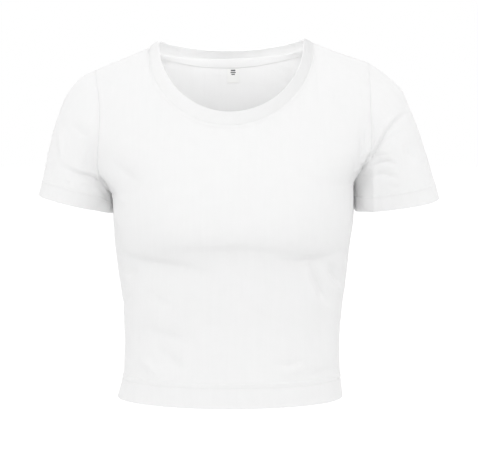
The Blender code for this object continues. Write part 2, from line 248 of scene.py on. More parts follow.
@dataclass(frozen=True)
class BodyForm:
    """The filled-out body: u runs across from right, -1, to left, 1, and v down the levels.

    shoulder and neck are the columns that a shoulder seam and the neckline take. The weave is
    measured in a table with so many rows to a level and columns to each side of the middle.
    """

    levels: tuple[Level, ...] = LEVELS
    armpit: int = 7
    bust_x: float = 74.0
    bust_spread: float = 42.0
    shoulder: int = 6
    neck: int = 20
    table_rows: int = 6
    table_columns: int = 60

    @property
    def hem(self) -> int:
        """The level of the bottom edge."""
        return len(self.levels) - 1

    @property
    def width(self) -> int:
        """The columns that the shoulders and the neckline take together."""
        return 2 * self.shoulder + self.neck

    @cached_property
    def above(self) -> Array:
        """List the levels down to the armpit, where the armhole turns back up.

        Returns:
            Their values, with one more row at each end that only steers.
        """
        before, after = self.levels[self.armpit - 1], self.levels[self.armpit + 1]
        turned = after._replace(left_x=before.left_x, right_x=before.right_x,
                                left_z=before.left_z, right_z=before.right_z,
                                front_edge=-before.front_edge, back_edge=-before.back_edge,
                                reach=before.reach)
        return np.array((self.levels[0],) + self.levels[:self.armpit + 1] + (turned,), float)

    @cached_property
    def below(self) -> Array:
        """List the levels from the armpit down, whose edges are the side seams.

        Returns:
            Their values, with one more row at each end that only steers.
        """
        before, armpit = self.levels[self.armpit - 1], self.levels[self.armpit]
        before = before._replace(front_edge=0, back_edge=0, reach=90, left_x=armpit.left_x,
                                 right_x=armpit.right_x)
        return np.array((before,) + self.levels[self.armpit:] + (self.levels[-1],), float)

    def level_at(self, v: Array) -> Level:
        """Find the level that lies some rows down from the shoulder line.

        Args:
            v: How many rows down, for each point wanted.

        Returns:
            A level whose values are arrays.
        """
        upper = curve(self.above, np.clip(v, 0, self.armpit))
        lower = curve(self.below, np.clip(v - self.armpit, 0, self.hem - self.armpit))
        values = np.where((v > self.armpit)[..., None], lower, upper)
        return Level(*np.moveaxis(values, -1, 0))

    def point(self, side: Side, u: Array, v: Array) -> Array:
        """Find points of the front or back.

        Args:
            side: The front or the back.
            u: How far across, from -1 to 1.
            v: How many levels down.

        Returns:
            The points, in the shape of u and v with x, y and z last.
        """
        u, v = np.broadcast_arrays(np.asarray(u, float), np.asarray(v, float))
        level = self.level_at(v)
        is_front = side is Side.FRONT
        mid_z = level.front_z if is_front else level.back_z
        mid_y = level.front_y if is_front else level.back_y
        power = 2 / (level.front_square if is_front else level.back_square)
        edge_y = level.front_edge if is_front else level.back_edge
        edge_x = np.where(u > 0, level.left_x, -level.right_x)
        edge_z = np.where(u > 0, level.left_z, level.right_z)
        reach = np.radians(level.reach)
        turn = np.abs(u) * reach
        across = (np.sin(turn) / np.sin(reach)) ** power
        full = np.maximum(np.cos(reach), 0) ** power
        inward = (1 - np.maximum(np.cos(turn), 0) ** power) / (1 - full)
        x = edge_x * across
        y = mid_y + (edge_y - mid_y) * inward
        if is_front:
            y = y - level.bust * hump(np.abs(x), self.bust_x, self.bust_spread) * (1 - across ** 8)
        z = mid_z + (edge_z - mid_z) * across ** level.fall
        return np.stack((x, y, z), -1)

    def weave(self, side: Side, u: Array, v: Array) -> tuple[Array, Array]:
        """Measure along the cloth, from the middle and from the top.

        Args:
            side: The front or the back.
            u: How far across, from -1 to 1.
            v: How many levels down.

        Returns:
            The distances across and down.
        """
        fine, half = self.table_rows, self.table_columns
        table = self.point(side, np.linspace(-1, 1, 2 * half + 1),
                           np.arange(self.hem * fine + 1)[:, None] / fine)
        across = travel(table, 1)
        across -= across[:, half:half + 1]
        i = np.clip(v * fine, 0, self.hem * fine - 0.001)
        j = np.clip((u + 1) * half, 0, 2 * half - 0.001)
        return blend(across, i, j), blend(travel(table), i, j)

    def u_at_x(self, side: Side, x: Array, v: Array) -> Array:
        """How far across its levels a panel reaches x."""
        ends = np.ones_like(x)
        return halve(-ends, ends, lambda u: self.point(side, u, v)[..., 0] < x)

    def find(self, side: Side, x: Array, z: Array) -> tuple[Array, Array]:
        """The u and v of the points that show at x and z from the front."""
        v = halve(np.zeros_like(x), np.full_like(x, self.armpit),
                  lambda v: self.point(side, self.u_at_x(side, x, v), v)[..., 2] > z)
        return self.u_at_x(side, x, v), v

    def neck_angle(self, places: Array) -> Array:
        """The angle round the neck of columns of the grid."""
        return np.radians(np.clip(-90 + 180 * (places - self.shoulder) / self.neck, -90, 90))

    def top_edge(self, side: Side, places: Array) -> tuple[Array, Array]:
        """Follow the right shoulder seam, the neckline and the left shoulder seam.

        Args:
            side: The front or the back.
            places: Columns of the grid, from 0 to its width.

        Returns:
            The u and the v of each.
        """
        u, v = self.find(side, *NECK_SEAM.seen(side, self.neck_angle(places)))
        ends = np.array((-NECK_SEAM.half_width, NECK_SEAM.half_width))
        low, high = self.u_at_x(Side.FRONT, ends, np.zeros(2))
        right = places <= self.shoulder
        left = places >= self.shoulder + self.neck
        u = np.where(right, -1 + (low + 1) * places / self.shoulder, u)
        u = np.where(left, 1 + (high - 1) * (self.width - places) / self.shoulder, u)
        return u, np.where(right | left, 0.0, v)


FORM = BodyForm()


PUFF_AT = 3.4  # where the cloth rises beside a seam
PUFF_SPREAD = 2.2
SINK_SPREAD = 1.1
SEAM_SPOTS = 4  # places measured to in each step of a seam
CREASE_REACH = 3.5  # how many widths away a crease still counts
PATH_STEPS = 6  # straight steps in each stretch of its path
FADE_POWER = 1.2
TROUGH_POWER = 1.6
LIP_DISTANCE = 2.1  # in widths, as the next
LIP_SPREAD = 1.3
FACING = 0.4  # how squarely the cloth has to face the look for the crease's whole depth


class Crease(NamedTuple):
    """A soft fold along a path: it sinks by depth, and stands out beside it by lip.

    The path is in the two axes of a look. A negative depth is a ridge. A lip above 0 lies to
    the left of the path and one below 0 to its right. ends is the share of the depth kept there.
    Where right is given, the fold is that wide to the right of the path.
    """

    path: tuple[Pair, ...]
    depth: float
    width: float
    lip: float = 0.0
    ends: Pair = (0.0, 0.0)
    right: float = 0.0

    def lift(self, look: Look, points: Array, normals: Array) -> Array:
        """Work out how far the crease moves the cloth outward.

        Args:
            look: The way of looking whose axes the path is in.
            points: Points of the cloth, one a row.
            normals: Their outward normals.

        Returns:
            The distance for each point, below 0 where it moves in.
        """
        across, up, axis, sign = look.value
        flat = points[:, (across, up)]
        way = np.array(self.path, float)
        right = self.right or self.width
        reach = CREASE_REACH * max(self.width, right)
        near = np.all((flat > way.min(0) - reach) & (flat < way.max(0) + reach), axis=1)
        near &= normals[:, axis] * sign > 0
        out = np.zeros(len(points))
        if not near.any():
            return out
        far, aside, along = self.measure(flat[near], way)
        fade = self.ends[0] * (1 - along) + self.ends[1] * along
        fade = fade + (1 - fade) * np.sin(np.pi * along) ** FADE_POWER
        width = right + (self.width - right) * (aside + 1) / 2
        trough = np.exp(-(far / width) ** TROUGH_POWER)
        lip_at = math.copysign(1.0, self.lip) * LIP_DISTANCE * self.width
        lip = abs(self.lip) * hump(far * aside, lip_at, LIP_SPREAD * self.width)
        facing = ramp(0.0, FACING, normals[near, axis] * sign)
        out[near] = (lip - self.depth * trough) * fade * facing
        return out

    @staticmethod
    def measure(flat: Array, way: Array) -> tuple[Array, Array, Array]:
        """Measure points against a path.

        Args:
            flat: Points in the path's plane.
            way: The path's own points.

        Returns:
            How far from the path each point lies, how much to its left, from -1 to 1, and its
            share of the way along.
        """
        table = np.vstack((2 * way[0] - way[1], way, 2 * way[-1] - way[-2]))
        stretches = len(way) - 1
        line = curve(table, np.linspace(0, stretches, PATH_STEPS * stretches + 1))
        step = np.diff(line, axis=0)
        length = np.linalg.norm(step, axis=1)
        start = travel(line)
        away = flat[:, None] - line[:-1]
        share = np.clip((away * step).sum(2) / length ** 2, 0, 1)
        gap = away - share[..., None] * step
        far = np.linalg.norm(gap, axis=2)
        best = far.argmin(1)
        pick = (np.arange(len(flat)), best)
        far = far[pick]
        turn = step[best, 0] * gap[pick][:, 1] - step[best, 1] * gap[pick][:, 0]
        aside = np.clip(2 * turn / (length[best] * np.maximum(far, 1e-6)), -1, 1)
        along = (start[best] + share[pick] * length[best]) / start[-1]
        return far, aside, along


FRONT_CREASES = (
    Crease(((-150, -275), (-121, -282), (-98, -285), (-74, -287), (-36, -292)), 5.4, 7,
           ends=(0.2, 0.0), right=30),
    Crease(((-146, -277), (-118, -282), (-60, -290), (-10, -297)), 2.6, 9, ends=(0.2, 0.0), right=22),
    Crease(((-110, -276), (-45, -268), (-9, -267), (41, -268), (100, -275)), 3.6, 7, right=40),
    Crease(((50, -277), (84, -281), (108, -281), (144, -272)), 6.4, 8, ends=(0.0, 0.2), right=30),
    Crease(((84, -279), (106, -282), (126, -281)), 3.4, 7, right=13),
    Crease(((103, -284), (113, -311), (127, -345)), 7.6, 7, lip=0.6),
    Crease(((123, -284), (132, -299), (142, -320)), 6.4, 5.4, lip=0.5),
    Crease(((-123, -290), (-130, -297), (-137, -308)), 2.2, 6),
    Crease(((-106, -315), (-92, -331), (-72, -336)), 2.2, 7, right=10),
    Crease(((-124, -366), (-84, -377), (-42, -383)), 3.8, 9, right=30),
    Crease(((-98, -390), (-76, -407), (-52, -422)), 3.4, 7.5, right=15),
    Crease(((-119, -405), (-104, -419), (-90, -431)), -2.4, 5),
    Crease(((52, -408), (70, -412), (95, -408)), 2.1, 3.2, lip=-0.8, right=7),
    Crease(((92, -410), (80, -419), (66, -430)), -1.7, 4),
    Crease(((86, -420), (108, -427), (138, -422)), 2.5, 6, right=12),
    Crease(((112, -332), (120, -368), (114, -408)), 2.6, 17),
    Crease(((-157, -154), (-142, -167), (-112, -187)), 7.2, 14, ends=(0.4, 0.0), right=18),
    Crease(((-144, -201), (-137, -205), (-130, -214)), -1.2, 4.5),
    Crease(((176, -93), (170, -129), (160, -175)), 2.8, 8, ends=(0.0, 1.0)),
    Crease(((163, -118), (166, -142), (167, -167)), 1.7, 2.6, lip=0.6, ends=(0.0, 1.0)),
    Crease(((170, -114), (172, -138), (172, -160)), 1.7, 2.4, lip=0.6, ends=(0.0, 1.0)),
    Crease(((154, -150), (157, -165), (156, -178)), 1.3, 3.0, lip=0.5, ends=(0.0, 1.0)),
)

SHOULDER_CREASES = (
    Crease(((-30, -74), (-8, -70), (12, -70), (44, -80)), -3.4, 12),
)

LEFT_SLEEVE_CREASES = (
    Crease(((177, -152), (186, -139), (193, -126), (206, -109), (218, -99), (228, -96)), 4.0, 2.8,
           lip=1.2, ends=(1.0, 0.0), right=6.0),
    Crease(((177, -153), (184, -143), (190, -132), (197, -120)), 1.4, 2.4, lip=0.5, ends=(1.0, 0.0)),
    Crease(((191, -138), (200, -128), (212, -121), (222, -120)), 1.3, 2.6, lip=0.6),
    Crease(((183, -150), (191, -148), (199, -150)), 1.0, 2.2, lip=0.4, ends=(1.0, 0.0)),
    Crease(((182, -161), (196, -157), (211, -160)), 2.1, 2.6, lip=0.8, ends=(0.6, 0.0)),
    Crease(((192, -166), (201, -168), (208, -167)), 0.7, 2.2, lip=0.3),
    Crease(((182, -176), (193, -173), (214, -178)), 1.8, 3.0, lip=0.6, ends=(0.5, 0.0)),
    Crease(((196, -188), (208, -190), (216, -187)), 0.6, 3.0, lip=0.2),
    Crease(((220, -132), (228, -147), (235, -162)), 3.2, 7),
    Crease(((188, -78), (196, -92), (199, -106)), 0.9, 6),
    Crease(((181, -153), (182.5, -187), (184, -226)), -2.6, 3.2, ends=(0.4, 1.0), right=4.0),
)

RIGHT_SLEEVE_CREASES = (
    Crease(((-217, -162), (-196, -172), (-174, -179), (-151, -198)), 5.2, 3.0, lip=0.6,
           ends=(0.0, 0.3), right=9),
    Crease(((-212, -176), (-208, -181), (-203, -184)), -1.3, 3),
    Crease(((-196, -186), (-184, -190), (-170, -199)), 1.0, 2.6, lip=0.5),
    Crease(((-208, -108), (-193, -118), (-177, -128)), 2.2, 7),
    Crease(((-221, -112), (-217, -139), (-215, -164)), -2.9, 4.2),
)

BACK_CREASES = (
    Crease(((150, -205), (128, -222), (98, -236)), 3.4, 8, lip=0.8, ends=(1.0, 0.0)),
    Crease(((-148, -212), (-122, -230), (-101, -251)), 2.2, 9, lip=0.7, ends=(1.0, 0.0)),
    Crease(((-62, -292), (-18, -300), (30, -297), (64, -303)), 2.0, 9),
    Crease(((52, -331), (88, -338), (116, -352)), 2.4, 7, lip=0.5),
    Crease(((-40, -352), (-78, -361), (-112, -355)), 2.5, 7, lip=-0.5),
    Crease(((-22, -392), (14, -398), (39, -395)), 1.4, 6),
    Crease(((-118, -405), (-103, -421), (-97, -434)), 1.7, 5),
    Crease(((92, -408), (101, -423), (104, -436)), 1.5, 5),
    Crease(((168, -92), (163, -128), (152, -168)), 3.4, 8, ends=(0.0, 1.0)),
    Crease(((-160, -96), (-157, -132), (-150, -172)), 3.1, 8, ends=(0.0, 1.0)),
    Crease(((-96, -71), (-62, -83), (-38, -101)), 1.5, 8),
    Crease(((105, -60), (74, -79), (55, -104)), 1.4, 8),
    Crease(((186, -118), (205, -109), (226, -112)), 4.1, 5, lip=0.9),
    Crease(((182, -150), (199, -157), (222, -154)), 2.7, 4.5, lip=0.6),
    Crease(((-178, -128), (-196, -121), (-216, -126)), 3.7, 5, lip=-0.9),
    Crease(((-172, -163), (-190, -171), (-208, -170)), 3.2, 4.5, lip=-0.6),
)

LEFT_SIDE_CREASES = (
    Crease(((-4, -204), (-28, -226), (-52, -243)), 2.0, 7, lip=0.6, ends=(1.0, 0.0)),
    Crease(((6, -210), (30, -235), (44, -262)), 1.6, 6, lip=0.5, ends=(1.0, 0.0)),
    Crease(((-62, -318), (-30, -333), (6, -338)), 2.1, 6),
    Crease(((58, -352), (34, -372), (2, -381)), 1.8, 6),
    Crease(((-44, -398), (-21, -411), (9, -414)), 1.4, 5),
)

RIGHT_SIDE_CREASES = (
    Crease(((-8, -215), (-34, -236), (-60, -249)), 1.9, 7, lip=-0.6, ends=(1.0, 0.0)),
    Crease(((8, -218), (26, -244), (39, -273)), 1.7, 6, lip=-0.5, ends=(1.0, 0.0)),
    Crease(((-55, -326), (-20, -342), (14, -341)), 2.0, 6),
    Crease(((52, -362), (28, -379), (-6, -384)), 1.7, 5),
)

CREASES = (
    (Look.FRONT, FRONT_CREASES),
    (Look.LEFT, SHOULDER_CREASES),
    (Look.FRONT, LEFT_SLEEVE_CREASES + RIGHT_SLEEVE_CREASES),
    (Look.BACK, BACK_CREASES),
    (Look.LEFT, LEFT_SIDE_CREASES),
    (Look.RIGHT, RIGHT_SIDE_CREASES),
)


@dataclass(frozen=True)
class Ripple:
    """Faint waves all over the cloth, so that no stretch of it is perfectly smooth."""

    seed: int
    height: float
    length: float
    waves: int = 24
    upright: float = 0.75
    lengths: Pair = (0.7, 1.8)

    def lift(self, points: Array) -> Array:
        """Work out how far the waves move the cloth outward.

        Args:
            points: Points of the cloth, one a row.

        Returns:
            The distance for each point.
        """
        chance = np.random.default_rng(self.seed)
        ways = unit(chance.normal(size=(self.waves, 3)) * (1.0, 1.0, self.upright))
        pace = 2 * np.pi / (self.length * chance.uniform(*self.lengths, self.waves))
        phase = chance.uniform(0, 2 * np.pi, self.waves)
        waves = np.sin(points @ (ways * pace[:, None]).T + phase)
        return self.height * waves.sum(-1) / math.sqrt(self.waves / 2)


RIPPLES = (Ripple(11, 0.32, 62.0), Ripple(12, 0.10, 21.0))


def sum_lift(points: Array, normals: Array) -> Array:
    """Add up what the creases and ripples do.

    Args:
        points: A grid of points of the cloth.
        normals: Their outward normals.

    Returns:
        How far each point moves outward.
    """
    flat, facing = points.reshape(-1, 3), normals.reshape(-1, 3)
    lift = sum(crease.lift(look, flat, facing) for look, creases in CREASES for crease in creases)
    lift = lift + sum(ripple.lift(flat) for ripple in RIPPLES)
    return lift.reshape(points.shape[:2])


def seam_line(away: Array, puff: float, sink: float) -> Array:
    """What a seam does at a distance from it: a dent at the stitches and a puff beside them."""
    return puff * hump(away, PUFF_AT, PUFF_SPREAD) - sink * hump(away, 0, SINK_SPREAD)


class Cloth:
    """A piece of cloth: a grid of points on its outer face, row 0 sewn and the last row free."""

    def __init__(self, name: str, rows: Array, closed: bool, turn_over: bool,
                 rim: int = 9) -> None:
        """Keep the grid.

        Args:
            name: The piece's name.
            rows: Its points, row by row.
            closed: True for a tube, whose rows are rings.
            turn_over: True where the grid's own normals point inward.
            rim: How many of its last rows face the way that the row before them does.
        """
        self.name, self.rows, self.closed, self.rim = name, rows, closed, rim
        self.sign = -1.0 if turn_over else 1.0
        self.normals = self.grid_normals()

    def grid_normals(self) -> Array:
        """Work out the outward normals.

        Returns:
            One for each point. A seam takes those of two rows in from it.
        """
        down = np.gradient(self.rows, axis=0)
        if self.closed:
            across = np.roll(self.rows, -1, axis=1) - np.roll(self.rows, 1, axis=1)
        else:
            across = np.gradient(self.rows, axis=1)
        normals = unit(np.cross(down, across)) * self.sign
        normals[0] = normals[2]
        normals[-self.rim:] = normals[-self.rim - 1]
        if not self.closed:
            normals[:, 0], normals[:, -1] = normals[:, 2], normals[:, -3]
        return normals

    def border(self) -> Array:
        """Mark the points that lie on a seam.

        Returns:
            A grid that is True there.
        """
        mask = np.zeros(self.rows.shape[:2], bool)
        mask[0] = True
        if not self.closed:
            mask[:, 0] = mask[:, -1] = True
        return mask

    def relax(self, passes: int) -> None:
        """Smooth the cloth along its normals, with its edges held.

        Args:
            passes: How many times each point moves halfway to the middle of its neighbours.
        """
        for _ in range(passes):
            normals = self.grid_normals()
            wide = self.rows
            if self.closed:
                wide = np.concatenate((wide[:, -1:], wide, wide[:, :1]), axis=1)
            middle = (wide[:-2, 1:-1] + wide[2:, 1:-1] + wide[1:-1, :-2] + wide[1:-1, 2:]) / 4
            inside = (slice(1, -1), slice(None) if self.closed else slice(1, -1))
            pull = ((middle - self.rows[inside]) * normals[inside]).sum(-1, keepdims=True)
            self.rows = self.rows.copy()
            self.rows[inside] += 0.5 * pull * normals[inside]

    def push(self, lift: Array) -> None:
        """Move each point outward by its lift."""
        self.rows = self.rows + self.normals * lift[..., None]

    def across(self) -> Array:
        """The distance along each row from its first point, with a last column back round a tube."""
        rows = np.concatenate((self.rows, self.rows[:, :1]), axis=1) if self.closed else self.rows
        return travel(rows, 1)

    def down(self) -> Array:
        """The distance down each column from the first row."""
        return travel(self.rows)

    def up(self) -> Array:
        """The distance up each column from the last row."""
        down = self.down()
        return down[-1] - down

    def to_seam(self) -> Array:
        """Measure how far the points lie from a seam.

        Returns:
            The distance of each to the nearest one.
        """
        if self.closed:
            return self.down()
        seams = (self.rows[0], self.rows[:, 0], self.rows[:, -1])
        share = np.arange(SEAM_SPOTS)[:, None, None] / SEAM_SPOTS
        dense = np.concatenate([(line[:-1] * (1 - share) + line[1:] * share).reshape(-1, 3)
                                for line in seams])
        tree = KDTree(len(dense))
        for k, place in enumerate(dense):
            tree.insert(place, k)
        tree.balance()
        away = [tree.find(place)[2] for place in self.rows.reshape(-1, 3)]
        return np.reshape(away, self.rows.shape[:2])


class Seams:
    """The points that the pieces share along their seams."""

    def __init__(self, cloths: list[Cloth]) -> None:
        """Find the shared points while the pieces still lie exactly edge to edge.

        Args:
            cloths: The pieces.
        """
        self.cloths = cloths
        self.borders = [cloth.border() for cloth in cloths]
        places = np.concatenate([cloth.rows[mask] for cloth, mask in zip(cloths, self.borders)])
        _, shared = np.unique(np.round(places, 2), axis=0, return_inverse=True)
        self.shared = shared.ravel()

    def average(self, grids: list[Array]) -> list[Array]:
        """Average grids over the shared points.

        Args:
            grids: One grid of vectors for each piece.

        Returns:
            The averages at each piece's border points.
        """
        values = np.concatenate([grid[mask] for grid, mask in zip(grids, self.borders)])
        total = np.zeros((self.shared.max() + 1, 3))
        np.add.at(total, self.shared, values)
        mean = (total / np.bincount(self.shared)[:, None])[self.shared]
        counts = [int(border.sum()) for border in self.borders]
        return np.split(mean, np.cumsum(counts)[:-1])

    def sew(self) -> None:
        """Give the pieces one shared place and one shared normal wherever they are sewn."""
        rows = self.average([cloth.rows for cloth in self.cloths])
        for cloth, border, places in zip(self.cloths, self.borders, rows):
            cloth.rows[border] = places
            cloth.normals = cloth.grid_normals()
        normals = self.average([cloth.normals for cloth in self.cloths])
        for cloth, border, facing in zip(self.cloths, self.borders, normals):
            cloth.normals[border] = unit(facing)


class Shading:
    """The node tree of one material, and the ways to add to it."""

    def __init__(self, name: str) -> None:
        """Start a material with a Principled shader."""
        self.material = bpy.data.materials.new(name)
        self.material.use_nodes = True
        self.tree = self.material.node_tree
        self.shader = self.tree.nodes["Principled BSDF"]

    def node(self, kind: str, settings: dict | None = None,
             inputs: dict | None = None) -> bpy.types.Node:
        """Add a node.

        Args:
            kind: The node's type.
            settings: Its own settings, which are made before its sockets are filled.
            inputs: Values, wrapped values or sockets for its inputs, by name or number.

        Returns:
            The node.
        """
        node = self.tree.nodes.new(kind)
        for key, value in (settings or {}).items():
            setattr(node, key, value)
        for key, value in (inputs or {}).items():
            self.fill(node.inputs[key], value)
        return node

    def fill(self, socket: Socket,
             value: "Value | Socket | float | tuple") -> None:
        """Set a socket to a value, or link it to a wrapped value or an output socket.

        Args:
            socket: The input socket.
            value: What goes into it.
        """
        if isinstance(value, Value):
            value = value.socket
        if isinstance(value, Socket):
            self.tree.links.new(value, socket)
        else:
            socket.default_value = value

    def dress(self, inputs: dict) -> None:
        """Fill the shader's own inputs, by name."""
        for key, value in inputs.items():
            self.fill(self.shader.inputs[key], value)

    def weave(self) -> tuple["Value", "Value"]:
        """The distance across and along the cloth, in millimetres."""
        place = self.node("ShaderNodeUVMap", {"uv_map": WEAVE_MAP})
        apart = self.node("ShaderNodeSeparateXYZ", None, {0: place.outputs[0]})
        return Value(self, apart.outputs[0]), Value(self, apart.outputs[1])

    def noise(self, x: "Value", y: "Value", size: Pair, layer: float,
              detail: float = 2.0) -> "Value":
        """Work out even noise round 0.5.

        Args:
            x: The distance across the cloth.
            y: The distance along it.
            size: How far its spots reach across and along.
            layer: A number that sets one noise apart from another.
            detail: How many finer noises it adds.

        Returns:
            The noise.
        """
        place = self.node("ShaderNodeCombineXYZ", None, {0: x / size[0], 1: y / size[1], 2: layer})
        noise = self.node("ShaderNodeTexNoise", {"noise_dimensions": "3D"},
                          {"Vector": place.outputs[0], "Scale": 1.0, "Detail": detail,
                           "Roughness": 0.55})
        return Value(self, noise.outputs[0])

    def tint(self, ground: tuple, figure: tuple, amount: "Value") -> Socket:
        """A colour between two, by amount."""
        mix = self.node("ShaderNodeMix", {"data_type": "RGBA", "clamp_factor": True},
                        {"Factor": amount, 6: ground, 7: figure})
        return mix.outputs[2]

    def bump(self, height: "Value", strength: float, distance: float) -> Socket:
        """The normal of a surface that height raises, in steps of distance millimetres."""
        inputs = {"Height": height, "Strength": strength, "Distance": distance * MM}
        return self.node("ShaderNodeBump", None, inputs).outputs[0]


class Value:
    """A number that varies over the surface; each operator on it adds a Math node."""

    def __init__(self, shading: Shading, socket: Socket) -> None:
        """Wrap a socket of a material's tree."""
        self.shading, self.socket = shading, socket

    def math(self, operation: str, *values: "Value | float") -> "Value":
        """The result of a Math node on the values."""
        node = self.shading.node("ShaderNodeMath", {"operation": operation},
                                 dict(enumerate(values)))
        return Value(self.shading, node.outputs[0])

    def __add__(self, other: "Value | float") -> "Value":
        """Add."""
        return self.math("ADD", self, other)

    __radd__ = __add__

    def __sub__(self, other: "Value | float") -> "Value":
        """Subtract."""
        return self.math("SUBTRACT", self, other)

    def __rsub__(self, other: float) -> "Value":
        """Subtract from a number."""
        return self.math("SUBTRACT", other, self)

    def __mul__(self, other: "Value | float") -> "Value":
        """Multiply."""
        return self.math("MULTIPLY", self, other)

    __rmul__ = __mul__

    def __truediv__(self, other: float) -> "Value":
        """Divide."""
        return self.math("DIVIDE", self, other)

    def __abs__(self) -> "Value":
        """The size without its sign."""
        return self.math("ABSOLUTE", self)

    def __lt__(self, other: float) -> "Value":
        """1 where it is under a number, 0 elsewhere."""
        return self.math("LESS_THAN", self, other)

    def wave(self, length: float) -> "Value":
        """A wave between 0 and 1, once in each length."""
        turn = self * (2 * math.pi / length)
        return 0.5 + 0.5 * turn.math("COSINE", turn)

    def fract(self) -> "Value":
        """What is left over a whole number."""
        return self.math("FRACT", self)


Pattern = tuple[Value, Value, Value]


def grey(shade: float) -> Numbers:
    """A plain grey."""
    return (shade, shade, shade, 1.0)


@dataclass(frozen=True)
class Finish:
    """The finish of one cloth: its colours, and how rough, raised and glossy it is.

    The colours are the ground's and the figure's; on the rib, the tape and the thread they are
    partly painted shade, with the figure's on the raised parts and the ground's in the grooves. rough
    is the least roughness and what the fuzz adds, bump is its strength and its depth in
    millimetres, and extra holds more of the shader's inputs.
    """

    name: str
    ground: Numbers
    figure: Numbers
    rough: Pair
    bump: Pair
    gloss: float
    extra: dict[str, float | tuple] = field(default_factory=dict)

    def pattern(self, shading: Shading, x: Value, y: Value) -> Pattern:
        """Work out the cloth's own pattern.

        Args:
            shading: The material's nodes.
            x: The distance across the cloth.
            y: The distance along it.

        Returns:
            How much of the figure's colour each spot has, how much fuzz, and how high it is.
        """
        raise NotImplementedError

    def make(self) -> Material:
        """Build the material.

        Returns:
            The material.
        """
        shading = Shading(self.name)
        amount, fuzz, height = self.pattern(shading, *shading.weave())
        least, added = self.rough
        shading.dress({"Base Color": shading.tint(self.ground, self.figure, amount),
                       "Roughness": least + fuzz * added,
                       "Normal": shading.bump(height, *self.bump),
                       "Specular IOR Level": self.gloss, **self.extra})
        return shading.material


@dataclass(frozen=True)
class Jersey(Finish):
    """White single jersey: fine wales of small loops, faintly uneven yarn, a soft matt face.

    Light spreads a little way through it, so that some comes out on its inside.
    """

    wale: float = 1.0
    course: float = 0.8

    def pattern(self, shading: Shading, x: Value, y: Value) -> Pattern:
        """Columns of loops with a little fuzz, in streaks of lighter and darker yarn."""
        streak = shading.noise(x, y, (4.0, 70.0), 0.0)
        mottle = shading.noise(x, y, (16.0, 16.0), 7.0, 3.0)
        fuzz = shading.noise(x, y, (0.5, 0.5), 3.0)
        side = abs((x / self.wale).fract() - 0.5) * 2.0
        loop = (y + side * 0.45 * self.course).wave(self.course)
        leg = 1.0 - abs(side - 0.5) * 1.6
        height = leg * (0.62 + 0.38 * loop) + fuzz * 0.35 + streak * 0.5
        return streak * 0.8 + mottle * 0.7 - 0.25, fuzz, height


@dataclass(frozen=True)
class Rib(Finish):
    """White one-by-one rib, whose fine upright ribs run across the band."""

    rib: float = 1.5
    course: float = 0.8

    def pattern(self, shading: Shading, x: Value, y: Value) -> Pattern:
        """Ribs of loops with a little fuzz, in a soft mottle, with painted shade: the colour is
        lighter on the ribs and darker between them.
        """
        fuzz = shading.noise(x, y, (0.5, 0.5), 3.0)
        mottle = shading.noise(x, y, (12.0, 12.0), 5.0)
        rib = x.wave(self.rib)
        height = rib + rib * y.wave(self.course) * 0.3 + fuzz * 0.3
        # Painted shade: the colour follows the ribs' height, lighter on them and darker in the
        # grooves; the mottle adds the yarn's own uneven tone.
        return rib * 0.45 + mottle * 0.9, fuzz, height


@dataclass(frozen=True)
class Twill(Finish):
    """White twill tape with a slanting rib."""

    rib: float = 1.1

    def pattern(self, shading: Shading, x: Value, y: Value) -> Pattern:
        """Slanting ribs with a little fuzz, with painted shade: the colour is lighter on the ribs and
        darker in the grooves.
        """
        fuzz = shading.noise(x, y, (0.6, 0.6), 2.0)
        twill = (x + y).wave(self.rib)
        # Painted shade: the colour follows the twill's height, lighter on its ribs and darker in its
        # grooves; the fuzz adds the yarn's own uneven tone.
        return twill * 0.6 + fuzz * 0.6, fuzz, twill + fuzz * 0.4


class Bar(NamedTuple):
    """A bar woven across the label, how far down its middle lies and how far it reaches."""

    middle: float
    half_width: float
    height: float


@dataclass(frozen=True)
class Satin(Finish):
    """White satin ribbon, whose figure is three plain woven bars in grey."""

    thread: float = 0.45
    bars: tuple[Bar, ...] = (Bar(2.4, 3.0, 2.4), Bar(5.6, 3.4, 1.7), Bar(8.4, 2.3, 1.7))

    def pattern(self, shading: Shading, x: Value, y: Value) -> Pattern:
        """Fine threads across, and the bars, which show the threads along."""
        fuzz = shading.noise(x, y, (0.4, 0.4), 9.0)
        marks = sum((abs(x) < bar.half_width) * (abs(y - bar.middle) < bar.height / 2)
                    for bar in self.bars)
        return marks * (0.86 + 0.14 * x.wave(0.5)), fuzz, y.wave(self.thread) + fuzz * 0.5


@dataclass(frozen=True)
class Thread(Finish):
    """White sewing thread, twisted and slightly glossy."""

    ply: float = 0.42

    def pattern(self, shading: Shading, x: Value, y: Value) -> Pattern:
        """Plies that wind round the thread, with painted shade: the colour is lighter on their crowns
        and darker in the grooves.
        """
        twist = (x + y * 0.8).wave(self.ply)
        # Painted shade: the colour follows the plies' height, lighter on the crowns and darker in the
        # grooves.
        return twist, twist, twist


